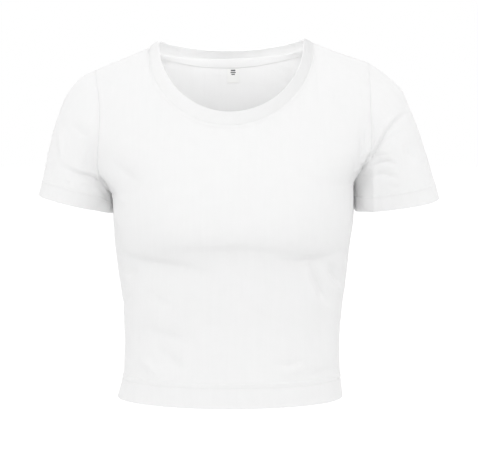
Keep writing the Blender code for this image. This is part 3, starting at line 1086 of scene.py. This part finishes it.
class Finishes:
    """The garment's materials, each made once."""

    def __init__(self) -> None:
        """Make every material."""
        self.jersey = Jersey(
            "white_jersey", ground=grey(0.84), figure=grey(0.865), rough=(0.84, 0.12),
            bump=(0.55, 0.16), gloss=0.25,
            extra={"Sheen Weight": 0.12, "Sheen Roughness": 0.45, "Subsurface Weight": 0.4,
                   "Subsurface Radius": (1.0, 1.0, 1.0), "Subsurface Scale": 1.3 * MM}).make()
        # The rib's lighter figure lies on its ribs and its darker ground between them, as painted
        # shade mixed with the yarn's own mottle.
        self.rib = Rib(
            "white_rib", ground=grey(0.83), figure=grey(0.865), rough=(0.85, 0.1),
            bump=(0.6, 0.22), gloss=0.25,
            extra={"Sheen Weight": 0.1, "Sheen Roughness": 0.45}).make()
        # The tape's lighter figure lies on its twill ribs and its darker ground in the grooves, as
        # painted shade mixed with the fuzz's own tone.
        self.tape = Twill("white_tape", ground=grey(0.80), figure=grey(0.85), rough=(0.7, 0.15),
                          bump=(0.6, 0.18), gloss=0.3).make()
        self.label = Satin("label_satin", ground=(0.87, 0.87, 0.86, 1.0),
                           figure=(0.045, 0.045, 0.05, 1.0), rough=(0.38, 0.2),
                           bump=(0.4, 0.08), gloss=0.45).make()
        # The thread's lighter figure lies on its ply crowns and its darker ground in the grooves
        # between them, as painted shade.
        self.thread = Thread("white_thread", ground=grey(0.84), figure=grey(0.90),
                             rough=(0.5, 0.15), bump=(0.5, 0.06), gloss=0.4).make()


def make_object(name: str, points: Array, faces: list[Array], maps: list[Array],
                material: Material) -> bpy.types.Object:
    """Make an object of points and faces.

    Args:
        name: The object's name.
        points: Its points, in millimetres.
        faces: Arrays of faces, each with its own number of corners.
        maps: The weave map of each face's corners, in the same arrays.
        material: Its material.

    Returns:
        The object, with its faces turned outward.
    """
    if signed_volume(points, faces) < 0:
        faces = [part[:, ::-1] for part in faces]
        maps = [part[:, ::-1] for part in maps]
    mesh = bpy.data.meshes.new(name)
    mesh.from_pydata(points * MM, [], [face for part in faces for face in part.tolist()])
    layer = mesh.uv_layers.new(name=WEAVE_MAP)
    layer.uv.foreach_set("vector", np.concatenate([part.ravel() for part in maps]))
    mesh.materials.append(material)
    mesh.shade_smooth()
    mesh.set_sharp_from_angle(angle=SHARP_ANGLE)
    thing = bpy.data.objects.new(name, mesh)
    bpy.context.scene.collection.objects.link(thing)
    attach(thing, "root")
    return thing


def signed_volume(points: Array, faces: list[Array]) -> float:
    """Work out the volume inside the faces.

    Args:
        points: Their points.
        faces: Arrays of faces, each with its own number of corners.

    Returns:
        The volume, below 0 when they point inward.
    """
    total = 0.0
    for part in faces:
        for k in range(1, part.shape[1] - 1):
            a, b, c = (points[part[:, i]] for i in (0, k, k + 1))
            total += float((a * np.cross(b, c)).sum())
    return total / 6


def grid_corners(height: int, width: int) -> tuple[Array, Array]:
    """The row and the column of the first corner of each face of a grid."""
    rows, columns = np.mgrid[0:height, 0:width]
    return rows.ravel(), columns.ravel()


def wall_object(name: str, outer: Array, inner: Array, closed: bool,
                weave: tuple[Array, Array],
                material: Material) -> bpy.types.Object:
    """Make the closed wall between two grids that share their last row.

    Args:
        name: The object's name.
        outer: The outer face's grid of points.
        inner: The inner face's grid.
        closed: True for a tube.
        weave: The distances across and down, for the weave map, a tube's with a last column more.
        material: Its material.

    Returns:
        The object.
    """
    height, width = outer.shape[:2]
    points = np.concatenate((outer.reshape(-1, 3), inner[:-1].reshape(-1, 3)))
    i, j = grid_corners(height - 1, width if closed else width - 1)
    across, down = weave
    if closed:
        down = np.concatenate((down, down[:, :1]), axis=1)

    def out(row: Array, column: Array) -> Array:
        """The outer face's points at a row and a column."""
        return row * width + column % width

    def inn(row: Array, column: Array) -> Array:
        """The inner face's, which are the outer one's along the free edge."""
        return np.where(row == height - 1, out(row, column), height * width + out(row, column))

    def place(row: Array, column: Array) -> Array:
        """Where they lie in the weave."""
        return np.stack((across[row, column], down[row, column]), -1)

    corners = ((i, j), (i, j + 1), (i + 1, j + 1), (i + 1, j))
    faces = [np.stack([out(*c) for c in corners], 1), np.stack([inn(*c) for c in corners[::-1]], 1)]
    maps = [np.stack([place(*c) for c in way], 1) for way in (corners, corners[::-1])]
    top = j[i == 0]
    zero = np.zeros_like(top)
    faces.append(np.stack((out(zero, top), inn(zero, top), inn(zero, top + 1), out(zero, top + 1)), 1))
    maps.append(np.stack([place(zero, top + k) for k in (0, 0, 1, 1)], 1))
    if not closed:
        rows = np.arange(height - 1)
        for edge, turn in ((0, 1), (width - 1, -1)):
            side = np.full_like(rows, edge)
            wall = np.stack((out(rows, side), out(rows + 1, side), inn(rows + 1, side),
                             inn(rows, side)), 1)
            spots = np.stack([place(rows + k, side) for k in (0, 1, 1, 0)], 1)
            faces += [wall[:-1, ::turn], wall[-1:, (0, 1, 3)][:, ::turn]]
            maps += [spots[:-1, ::turn], spots[-1:, (0, 1, 3)][:, ::turn]]
    return make_object(name, points, faces, maps, material)


@dataclass(frozen=True)
class StitchKind:
    """A row's stitches: their pitch and length, the thread's width, how deep they sit.

    shape is the share of the thread's width at each of the stations along a stitch, and droop is
    how far its ends go down into the cloth, in widths. Each stitch follows its line from aim
    before its middle to aim after it.
    """

    pitch: float = 2.9
    length: float = 2.35
    thread: float = 0.34
    sink: float = 0.14
    sides: int = 6
    stations: Numbers = (-0.5, -0.47, -0.38, 0.0, 0.38, 0.47, 0.5)
    shape: Numbers = (0.0, 0.6, 1.0, 1.0, 1.0, 0.6, 0.0)
    droop: float = 0.7
    aim: float = 0.8

    def template(self) -> tuple[Array, list[Array]]:
        """Shape one stitch along X, which bends down at its ends.

        Returns:
            Its points and its faces.
        """
        stations = np.array(self.stations)
        girth = np.array(self.shape) * self.thread / 2
        dip = -((2 * stations) ** 6) * self.thread * self.droop
        k = np.arange(self.sides)
        turn = k * 2 * np.pi / self.sides
        rings = [np.stack((np.full(self.sides, s * self.length), g * np.cos(turn),
                           g * np.sin(turn) + d), 1)
                 for s, g, d in list(zip(stations, girth, dip))[1:-1]]
        ends = [(stations[tip] * self.length, 0, dip[tip]) for tip in (0, -1)]
        points = np.concatenate(rings + [np.array(ends)])
        n = (k + 1) % self.sides
        starts = np.arange(len(rings)) * self.sides
        quads = np.concatenate([np.stack((s + k, s + n, s + self.sides + n, s + self.sides + k), 1)
                                for s in starts[:-1]])
        tip = np.full_like(k, len(points) - 2)
        caps = np.concatenate((np.stack((n, k, tip), 1),
                               np.stack((starts[-1] + k, starts[-1] + n, tip + 1), 1)))
        return points, [quads, caps]

    def sew(self, name: str, lines: list[tuple[Array, Array]],
            material: Material) -> bpy.types.Object:
        """Sew rows of stitches along lines on the cloth.

        Args:
            name: The object's name.
            lines: For each row, its points on the cloth and the normals there.
            material: The thread's material.

        Returns:
            The stitches, as one object.
        """
        shape, faces = self.template()
        points = []
        for line, normals in lines:
            along = travel(line)
            middles = np.arange(self.pitch, along[-1] - self.pitch / 2, self.pitch)
            spot, ahead, back, up = (
                np.stack([np.interp(at, along, data[:, k]) for k in range(3)], 1)
                for at, data in ((middles, line), (middles + self.aim, line),
                                 (middles - self.aim, line), (middles, normals)))
            along_x = unit(ahead - back)
            up_z = unit(up - (up * along_x).sum(1, keepdims=True) * along_x)
            turn = np.stack((along_x, np.cross(up_z, along_x), up_z), 1)
            spot = spot + up_z * (self.thread / 2 - self.sink)
            points.append((spot[:, None] + shape @ turn).reshape(-1, 3))
        points = np.concatenate(points)
        count = len(points) // len(shape)
        steps = (np.arange(count) * len(shape))[:, None, None]
        parts = [(part[None] + steps).reshape(-1, part.shape[1]) for part in faces]
        flat = np.tile(shape[:, :2], (count, 1))
        return make_object(name, points, parts, [flat[part] for part in parts], material)


def line_at(cloth: Cloth, distance: Array, value: float,
            columns: slice) -> tuple[Array, Array]:
    """Find the line on the cloth that lies a set distance from an edge.

    Args:
        cloth: The piece.
        distance: The distance at each of its points, which grows or shrinks down each column.
        value: The distance wanted.
        columns: The columns to follow.

    Returns:
        The line's points and the normals there.
    """
    away = distance[:, columns] - value
    sign = np.sign(away[-1:] - away[:1])
    row = np.clip((away * sign < 0).sum(0) - 1, 0, len(away) - 2)
    pick = np.arange(away.shape[1])
    low, high = away[row, pick], away[row + 1, pick]
    share = (low / (low - high))[:, None]
    rows, normals = cloth.rows[:, columns], cloth.normals[:, columns]
    return tuple(grid[row, pick] * (1 - share) + grid[row + 1, pick] * share
                 for grid in (rows, normals))


@dataclass(frozen=True)
class Turning:
    """A hem or cuff turned up and sewn with two needles, in distances from the free edge.

    The cloth steps out by step over step_ends, which count from the upper needle, rolls out by
    roll a little below it and is pinched at the lower one. From thick_ends down it is thick.
    """

    needles: Pair
    step: float
    step_ends: Pair
    roll: float
    roll_below: float
    roll_spread: float
    pinch: float
    pinch_spread: float
    thick: float
    thick_ends: Pair
    wall: float = 1.0

    def shape(self, lift: Array, up: Array) -> Array:
        """Add what the turned edge does to the face.

        Args:
            lift: How far each point moves outward for other reasons.
            up: Its distance from the free edge.

        Returns:
            How far it moves in all.
        """
        lower, upper = self.needles
        start, end = self.step_ends
        lift = lift + (self.step * ramp(upper + start, upper + end, up)
                       + self.roll * hump(up, upper - self.roll_below, self.roll_spread))
        return lift - self.pinch * hump(up, lower, self.pinch_spread)

    def walls(self, up: Array) -> Array:
        """The wall's thickness at each distance from the free edge."""
        return self.wall + (self.thick - self.wall) * ramp(*self.thick_ends, up)


HEM = Turning(needles=(25.2, 30.4), step=0.55, step_ends=(2.0, 0.2), roll=0.25, roll_below=1.5,
              roll_spread=2.0, pinch=0.3, pinch_spread=1.0, thick=1.9, thick_ends=(33.4, 32.4))
CUFF = Turning(needles=(17.6, 21.0), step=0.3, step_ends=(1.6, 0.0), roll=0.2, roll_below=0.8,
               roll_spread=1.2, pinch=0.15, pinch_spread=0.9, thick=1.8, thick_ends=(22.8, 21.8))


@dataclass(kw_only=True)
class SewnPiece:
    """A piece that is sewn to others, with what its seams and its turned edge do to it."""

    name: str
    flat: Pair
    seam_puff: float = 0.0
    seam_sink: float = 0.07
    turning: Turning | None = None
    cloth: Cloth = field(init=False)
    seam: Array = field(init=False)

    def fold(self) -> None:
        """Add the folds, the seams' dents and the turned edge to the outer face."""
        cloth = self.cloth
        self.seam = cloth.to_seam()
        lift = sum_lift(cloth.rows, cloth.normals)
        lift += seam_line(self.seam, self.seam_puff, self.seam_sink)
        if self.turning:
            lift = self.turning.shape(lift, cloth.up())
        cloth.push(lift)

    def build(self, wall: Array, weave: tuple[Array, Array], material: Material) -> bpy.types.Object:
        """Make the piece's mesh, with a round free edge.

        Args:
            wall: The wall's thickness at each point.
            weave: The distances across and down, for the weave map.
            material: Its material.

        Returns:
            The object, which stands for the solid of its name.
        """
        cloth = self.cloth
        half = wall[-1].mean() / 2
        curl = half * (1 - np.sqrt(1 - np.clip((half - cloth.up()) / half, 0, 1) ** 2))[..., None]
        outer = cloth.rows - cloth.normals * curl
        inner = cloth.rows - cloth.normals * (wall[..., None] - curl)
        inner[-1] = outer[-1]
        thing = wall_object(self.name, outer, inner, cloth.closed, weave, material)
        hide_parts(self.name)
        LOG.info("%s: %d rows by %d columns", self.name, *cloth.rows.shape[:2])
        return thing


@dataclass(kw_only=True)
class BodyPanel(SewnPiece):
    """The front or the back of the body, cut in one piece with a turned hem.

    end_columns, top_rows and hem_steps are where its grid gets finer: at the sides, in columns,
    at the top edge, in shares of the way down, and at the hem, in millimetres up from it.
    """

    side: Side
    area: float
    turning: Turning = HEM
    seam_puff: float = 0.2
    end_columns: Numbers = (0.0, 0.06, 0.12, 0.19, 0.28, 0.40, 0.56)
    column_step: float = 0.2
    top_rows: Numbers = (0.0, 0.006, 0.012, 0.019, 0.027, 0.037)
    upper_rows: int = 88
    lower_rows: int = 94
    level_height: float = 26.5
    hem_steps: Numbers = (34.0, 33.2, 32.6, 32.1, 31.6, 31.1, 30.6, 30.1, 29.6, 29.1,
                                    28.4, 27.6, 27.0, 26.4, 25.8, 25.3, 24.8, 24.2, 23.4, 22.0,
                                    19.5, 16.0, 12.5, 9.5, 7.0, 5.0, 3.4, 2.2, 1.4, 0.9, 0.55,
                                    0.28, 0.1, 0.0)
    allowance: float = 0.9
    allowance_ends: Pair = (6.5, 5.2)
    neck_stitch_end: float = 88.0
    neck_spots: int = 240
    u: Array = field(init=False)
    v: Array = field(init=False)

    @cached_property
    def places(self) -> Array:
        """Place the columns of the grid, closer together at the sides.

        Returns:
            The place of each across the top edge, with one on each end of the neckline.
        """
        first, ends = self.end_columns[-1], np.array(self.end_columns)
        last = FORM.width - first
        middle = np.linspace(first, last, round((last - first) / self.column_step) + 1)
        spread = np.concatenate((ends[:-1], middle, (FORM.width - ends[::-1])[1:]))
        for corner in (FORM.shoulder, FORM.shoulder + FORM.neck):
            spread[np.abs(spread - corner).argmin()] = corner
        return spread

    @cached_property
    def shares(self) -> Array:
        """How far down from the top edge to the armpits each upper row lies."""
        rest = np.linspace(self.top_rows[-1], 1, self.upper_rows + 1)[1:]
        return np.concatenate((self.top_rows, rest))

    @property
    def neck_columns(self) -> slice:
        """The columns that end on the neckline."""
        first = int(np.searchsorted(self.places, FORM.shoulder))
        return slice(first, int(np.searchsorted(self.places, FORM.shoulder + FORM.neck)) + 1)

    def cut(self) -> Cloth:
        """Lay the panel out on the body's form.

        Returns:
            The panel's cloth.
        """
        top_u, top_v = FORM.top_edge(self.side, self.places)
        base = -1 + 2 * self.places / FORM.width
        share = self.shares[:, None]
        hem = FORM.hem - np.array(self.hem_steps) / self.level_height
        levels = np.concatenate((np.linspace(FORM.armpit, hem[0], self.lower_rows + 1)[1:], hem[1:]))
        self.u = np.concatenate((top_u + (base - top_u) * share, np.tile(base, (len(levels), 1))))
        self.v = np.concatenate((top_v + (FORM.armpit - top_v) * share,
                                 np.tile(levels[:, None], len(base))))
        rows = FORM.point(self.side, self.u, self.v)
        self.cloth = Cloth(self.name, rows, False, self.side is Side.BACK)
        return self.cloth

    def below_neck(self) -> tuple[Array, Array]:
        """Follow the neck's top stitch.

        Returns:
            The points of its line on the cloth, and the normals there.
        """
        height, width = self.cloth.rows.shape[:2]
        i, j = grid_corners(height - 1, width - 1)
        corner = i * width + j
        quads = np.stack((corner, corner + 1, corner + width + 1, corner + width), 1)
        tree = BVHTree.FromPolygons(self.cloth.rows.reshape(-1, 3).tolist(), quads.tolist())
        angles = np.radians(np.linspace(-self.neck_stitch_end, self.neck_stitch_end,
                                        self.neck_spots))
        places = FORM.point(self.side, *FORM.find(self.side, *NECK_STITCH.seen(self.side, angles)))
        found = [tree.find_nearest(place)[:2] for place in places]
        line, normals = (np.array([spot[k] for spot in found]) for k in (0, 1))
        outward = normals[self.neck_spots // 2, 1] * self.side.value > 0
        return line, normals * (1 if outward else -1)

    def make(self, finishes: Finishes) -> None:
        """Build the panel and its stitches.

        Args:
            finishes: The garment's materials.
        """
        cloth, up = self.cloth, self.cloth.up()
        wall = self.turning.walls(up)
        wall += self.allowance * ramp(*self.allowance_ends, self.seam) * ramp(0.0, 1.0, self.seam)
        thing = self.build(wall, FORM.weave(self.side, self.u, self.v), finishes.jersey)
        kind = StitchKind()
        clear = slice(2, -2)  # of the side seams
        lines = [line_at(cloth, up, needle, clear) for needle in self.turning.needles]
        sewn = kind.sew(self.name + "_hem_stitches", lines, finishes.thread)
        top = kind.sew(self.name + "_neck_stitches", [self.below_neck()], finishes.thread)


class Pull(NamedTuple):
    """How the cloth is steered over the top, the front, the underarm and the back."""

    top: Point
    front: Point
    under: Point
    back: Point

    def at(self, turn: Array, away: int) -> Array:
        """The pull at a turn round the sleeve; x counts away from the body."""
        shares = np.stack((np.maximum(np.cos(turn), 0), np.maximum(np.sin(turn), 0),
                           np.maximum(-np.cos(turn), 0), np.maximum(-np.sin(turn), 0)), -1)
        return shares ** 2 @ np.array(self, float) * (away, 1, 1)


@dataclass(kw_only=True)
class Sleeve(SewnPiece):
    """A short set-in sleeve with a turned cuff.

    The cuff's ring runs through its outer and inner ends and reaches front from its middle. Its
    front and back halves each have their own squareness.
    """

    hand: Hand
    outer: Point
    inner: Point
    front: Point
    leave: Pull
    arrive: Pull
    squares: Pair
    area: float
    turning: Turning = CUFF
    seam_puff: float = 0.1
    top_rings: Numbers = (0.0, 0.008, 0.016, 0.026, 0.038, 0.052)
    rings: int = 80
    cuff_depth: float = 22.0
    least_fold: float = 0.45
    cuff_steps: Numbers = (22.0, 21.4, 20.7, 20.0, 19.3, 18.6, 17.9, 17.2, 16.5, 15.5,
                                     14.0, 12.0, 10.0, 8.0, 6.0, 4.3, 3.0, 2.0, 1.3, 0.85, 0.5,
                                     0.25, 0.1, 0.0)

    def cut(self, front: BodyPanel, back: BodyPanel) -> Cloth:
        """Run the sleeve's strands from the armhole to the cuff.

        Args:
            front: The front panel, already laid out.
            back: The back panel.

        Returns:
            The sleeve's cloth.
        """
        column = -1 if self.hand is Hand.LEFT else 0
        last = len(front.shares) - 1
        start = np.concatenate((front.cloth.rows[:last + 1, column],
                                back.cloth.rows[1:last, column][::-1]))
        share = np.concatenate((front.shares, 2 - back.shares[1:last][::-1]))
        turn = np.pi * share[:, None]
        outer, inner, ahead = (np.array(v, float) for v in (self.outer, self.inner, self.front))
        power = np.where(share[:, None] < 1, *self.squares)
        across, along = (np.sign(v) * np.abs(v) ** power for v in (np.cos(turn), np.sin(turn)))
        end = (outer + inner) / 2 + (outer - inner) / 2 * across + ahead * along
        one = start + self.leave.at(turn[:, 0], self.hand.value)
        two = end + self.arrive.at(turn[:, 0], self.hand.value)
        depth = self.cuff_depth / np.linalg.norm(end - start, axis=1)
        fold = np.maximum(1 - depth, self.least_fold)[None]
        rest = np.linspace(self.top_rings[-1], 1, self.rings + 1)[1:]
        steps = np.concatenate((self.top_rings, rest))[:, None]
        cuff = 1 - np.array(self.cuff_steps[1:])[:, None] / self.cuff_depth
        t = np.concatenate((steps * fold, fold + (1 - fold) * cuff))[..., None]
        rows = ((1 - t) ** 3 * start + 3 * (1 - t) ** 2 * t * one
                + 3 * (1 - t) * t * t * two + t ** 3 * end)
        self.cloth = Cloth(self.name, rows, True, self.hand is Hand.LEFT)
        return self.cloth

    def make(self, finishes: Finishes) -> None:
        """Build the sleeve and its stitches.

        Args:
            finishes: The garment's materials.
        """
        cloth, up = self.cloth, self.cloth.up()
        thing = self.build(self.turning.walls(up), (cloth.across(), cloth.down()), finishes.jersey)
        lines = [line_at(cloth, up, needle, slice(None)) for needle in self.turning.needles]
        rings = [tuple(np.concatenate((ring, ring[:1])) for ring in line) for line in lines]
        sewn = StitchKind().sew(self.name + "_cuff_stitches", rings, finishes.thread)


@dataclass(kw_only=True)
class Neckband(SewnPiece):
    """The ring of doubled rib round the neck, which bulges by puff away from the chest."""

    name: str = "neckband"
    flat: Pair = (0.46, 0.032)
    seam_sink: float = 0.06
    side_y: float = 1.5
    back_y: float = 48.0
    puff: float = 0.9
    chest: Point = (0.0, 0.0, -160.0)
    steps: Numbers = (0.0, 0.05, 0.10, 0.16, 0.24, 0.34, 0.45, 0.56, 0.67, 0.77, 0.85,
                                0.90, 0.94, 0.965, 0.983, 0.994, 1.0)
    rim: int = 5
    wall: float = 2.0

    def edge(self, side: Side, angle: Array) -> Array:
        """Follow the free edge.

        Args:
            side: The front or the back.
            angle: The angles round from the middle of that side.

        Returns:
            The points there.
        """
        x, z = NECK_EDGE.seen(side, angle)
        if side is Side.FRONT:
            found = FORM.point(side, *FORM.find(side, x, z))
            return np.stack((x, found[..., 1], z), -1)
        behind = np.cos(angle)
        y = self.side_y + (self.back_y - self.side_y) * behind
        return np.stack((x, y, z + NECK_EDGE.back_drop * behind * (1 - behind)), -1)

    def cut(self, front: BodyPanel, back: BodyPanel) -> Cloth:
        """Run the band from the neck seam to its free edge.

        Args:
            front: The front panel, already laid out.
            back: The back panel.

        Returns:
            The band's cloth.
        """
        columns = front.neck_columns
        angles = FORM.neck_angle(front.places[columns])
        seam = np.concatenate((front.cloth.rows[0, columns],
                               back.cloth.rows[0, columns][1:-1][::-1]))
        edge = np.concatenate((self.edge(Side.FRONT, angles),
                               self.edge(Side.BACK, angles[1:-1][::-1])))
        t = np.array(self.steps)[:, None, None]
        rows = seam + (edge - seam) * t
        rows = rows + self.puff * 4 * t * (1 - t) * unit(rows - np.array(self.chest))
        self.cloth = Cloth(self.name, rows, True, True, self.rim)
        return self.cloth

    def make(self, finishes: Finishes) -> None:
        """Build the band.

        Args:
            finishes: The garment's materials.
        """
        cloth = self.cloth
        wall = np.full(cloth.rows.shape[:2], self.wall)
        thing = self.build(wall, (cloth.across(), cloth.down()), finishes.rib)


@dataclass
class Lining:
    """A strip of ribbon that lies on the back panel's inner face below the neck seam.

    rows says where it starts and ends, in twelfths of the way down to the armpits, columns where
    across the panel, and size how many points it has down and across. lift is its gap from the
    panel. Its edges are round and a little thinner.
    """

    name: str
    slot: str
    rows: Pair
    columns: Pair
    size: tuple[int, int]
    lift: float
    wall: float
    flat: Pair
    held: str = "laid"
    stitched: bool = False
    parts: int = 12
    edge: float = 0.5
    edge_loss: float = 0.35
    stitch_rows: tuple[int, int] = (2, -3)
    stitch_gap: int = 3

    def make(self, back: BodyPanel, inner: Array, material: Material,
             thread: Material) -> None:
        """Build the strip.

        Args:
            back: The back panel.
            inner: The grid of its inner face.
            material: The strip's material.
            thread: The stitches' material.
        """
        i = np.interp(np.linspace(*self.rows, self.size[0]) / self.parts, back.shares,
                      np.arange(len(back.shares)))[:, None]
        j = np.interp(np.linspace(*self.columns, self.size[1]), back.places,
                      np.arange(len(back.places)))[None]
        normals = -unit(blend(back.cloth.normals, i, j))
        low = blend(inner, i, j) + normals * self.lift
        high = blend(inner, i, j) + normals * (self.lift + self.wall)
        cloth = Cloth(self.name, high, False, False)
        across, down = cloth.across(), cloth.down()
        away = np.minimum(np.minimum(across, across[:, -1:] - across),
                          np.minimum(down, down[-1:] - down))
        thin = (1 - ramp(0.0, self.edge, away))[..., None]
        high = high - normals * thin * self.wall * self.edge_loss
        high[-1] = low[-1] = (high[-1] + low[-1]) / 2
        weave = (across - across[:, -1:] / 2, down)
        thing = wall_object(self.name, high, low, False, weave, material)
        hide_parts(self.name)
        pieces = ()
        if self.stitched:
            clear = slice(self.stitch_gap, -self.stitch_gap)
            lines = [(cloth.rows[k, clear], normals[k, clear]) for k in self.stitch_rows]
            kind = StitchKind(pitch=2.6, length=2.0, thread=0.4)
            pieces = (kind.sew(self.name + "_stitches", lines, thread),)
        LOG.info("%s: laid on the inside of the back", self.name)


@dataclass
class CropTop:
    """The whole garment: two panels, two sleeves, the neckband, the tape and the label."""

    front: BodyPanel
    back: BodyPanel
    sleeves: tuple[Sleeve, Sleeve]
    band: Neckband
    linings: tuple[Lining, Lining]
    panel_passes: int = 40
    sleeve_passes: int = 16

    def make(self, finishes: Finishes) -> None:
        """Cut, sew and fold every piece, and build its mesh.

        Args:
            finishes: The garment's materials.
        """
        cloths = [self.front.cut(), self.back.cut()]
        for cloth in cloths:
            cloth.relax(self.panel_passes)
        for sleeve in self.sleeves:
            cloths.append(sleeve.cut(self.front, self.back))
            cloths[-1].relax(self.sleeve_passes)
        cloths.append(self.band.cut(self.front, self.back))
        seams = Seams(cloths)
        seams.sew()
        parts = (self.front, self.back, *self.sleeves, self.band)
        for part in parts:
            part.fold()
        seams.sew()
        for part in parts:
            part.make(finishes)
        inner = self.back.cloth.rows - self.back.cloth.normals * HEM.wall
        for lining, material in zip(self.linings, (finishes.tape, finishes.label)):
            lining.make(self.back, inner, material, finishes.thread)


class Lamp(NamedTuple):
    """A one-sided light that no camera sees: its place, aim, width, height, power and shape."""

    name: str
    place: Point
    aim: Point
    size: Pair
    power: float
    shape: str = "RECTANGLE"


@dataclass(frozen=True)
class Studio:
    """The plain pale room: a camera level with the neck, a soft key light and a pale floor.

    Three weak lamps inside the neck stand for the light that thin cloth lets in all round.
    """

    eye: Point = (0.00975, -2.4, -0.05)
    aim: Point = (0.00975, 0.0, -0.241)
    lens: float = 139.6
    sensor: float = 36.0
    far: float = 50.0
    sky: float = 1.0
    lamps: tuple[Lamp, ...] = (
        Lamp("key", (-0.06, -2.5, 1.3), (0.0, -0.1, -0.2), (1.1, 1.1), 11.0, "DISK"),
        Lamp("neck", (0.0, -0.03, -0.07), (0.0, 0.07, -0.075), (0.17, 0.06), 0.0375),
        Lamp("neck", (0.03, -0.025, -0.04), (0.105, 0.035, -0.022), (0.05, 0.03), 0.027),
        Lamp("neck", (-0.03, -0.025, -0.04), (-0.105, 0.035, -0.022), (0.05, 0.03), 0.027))
    floor_z: float = -0.75
    floor_half: float = 12.0
    floor_shade: float = 0.88
    floor_glow: float = 0.2

    def make(self) -> None:
        """Set the camera, the lights and the floor."""
        self.make_camera()
        self.make_lights()
        self.make_floor()
        bpy.context.scene.view_settings.view_transform = "Standard"

    def make_camera(self) -> None:
        """Put the camera in front of the garment."""
        data = bpy.data.cameras.new("camera")
        data.lens, data.sensor_width, data.clip_end = self.lens, self.sensor, self.far
        bpy.context.scene.camera = self.hang(data, self.eye, self.aim)

    @staticmethod
    def hang(data: bpy.types.ID, place: tuple, aim: tuple) -> bpy.types.Object:
        """Hang a camera or a light in its place.

        Args:
            data: The camera or the light.
            place: Its place.
            aim: What its -Z points at.

        Returns:
            The object.
        """
        thing = bpy.data.objects.new(data.name, data)
        direction = Vector(aim) - Vector(place)
        thing.location = place
        thing.rotation_euler = direction.to_track_quat("-Z", "Y").to_euler()
        bpy.context.scene.collection.objects.link(thing)
        return thing

    def make_lights(self) -> None:
        """Light the room evenly, with a soft key light from above the camera."""
        world = bpy.data.worlds.new("room")
        world.use_nodes = True
        ground = world.node_tree.nodes["Background"]
        ground.inputs["Color"].default_value = (1, 1, 1, 1)
        ground.inputs["Strength"].default_value = self.sky
        bpy.context.scene.world = world
        for lamp in self.lamps:
            data = bpy.data.lights.new(lamp.name, "AREA")
            data.shape, data.energy = lamp.shape, lamp.power
            data.size, data.size_y = lamp.size
            self.hang(data, lamp.place, lamp.aim).visible_camera = False

    def make_floor(self) -> None:
        """Lay a wide pale floor, which looks brighter than the light that it throws back."""
        mesh = bpy.data.meshes.new("floor")
        corners = ((-1, -1), (1, -1), (1, 1), (-1, 1))
        mesh.from_pydata([(x * self.floor_half, y * self.floor_half, self.floor_z)
                          for x, y in corners], [], [(0, 1, 2, 3)])
        shading = Shading("pale_floor")
        seen = shading.node("ShaderNodeLightPath").outputs["Is Camera Ray"]
        shading.dress({"Base Color": grey(self.floor_shade), "Roughness": 0.9,
                       "Emission Color": seen, "Emission Strength": self.floor_glow})
        mesh.materials.append(shading.material)
        floor = bpy.data.objects.new("floor", mesh)
        bpy.context.scene.collection.objects.link(floor)


def main() -> None:
    """Build the studio and the garment."""
    logging.basicConfig(level=logging.INFO, format="%(message)s")
    Studio().make()
    left = Sleeve(
        name="sleeve_left", hand=Hand.LEFT, outer=(267.2, -12, -204.5), inner=(158.5, 22, -222),
        front=(0, -48, -5.0), squares=(0.8, 1.0), flat=(0.36, 0.22), area=0.039,
        leave=Pull(top=(55, 0, -30), front=(25, -14, -8), under=(1.2, 4, -12), back=(25, 14, -8)),
        arrive=Pull(top=(-27, 2, 92), front=(-8, -4, 36), under=(-1, -2, 10), back=(-8, 4, 36)))
    right = Sleeve(
        name="sleeve_right", hand=Hand.RIGHT, outer=(-247.8, -14, -202.5), inner=(-151.5, 26, -228),
        front=(0, -49, 0.0), squares=(1.15, 1.0), flat=(0.36, 0.19), area=0.034,
        leave=Pull(top=(50, 0, -9), front=(22, -14, -8), under=(0.7, 1, -10), back=(22, 14, -8)),
        arrive=Pull(top=(-14, 2, 58), front=(-8, -4, 32), under=(-2.4, -2, 8), back=(-8, 4, 32)))
    tape = Lining("neck_tape", "tape", rows=(0.08, 0.92), columns=(7.0, 25.0), size=(13, 150),
                  lift=0.25, wall=0.8, flat=(0.19, 0.012), stitched=True)
    label = Lining("size_label", "label", rows=(0.95, 2.2), columns=(15.63, 16.61),
                   size=(26, 22), lift=0.3, wall=0.5, flat=(0.014, 0.016), held="hung")
    front = BodyPanel(name="front_panel", side=Side.FRONT, flat=(0.41, 0.50), area=0.169)
    back = BodyPanel(name="back_panel", side=Side.BACK, flat=(0.40, 0.53), area=0.172)
    CropTop(front, back, (left, right), Neckband(), (tape, label)).make(Finishes())


if __name__ == "__main__":
    main()
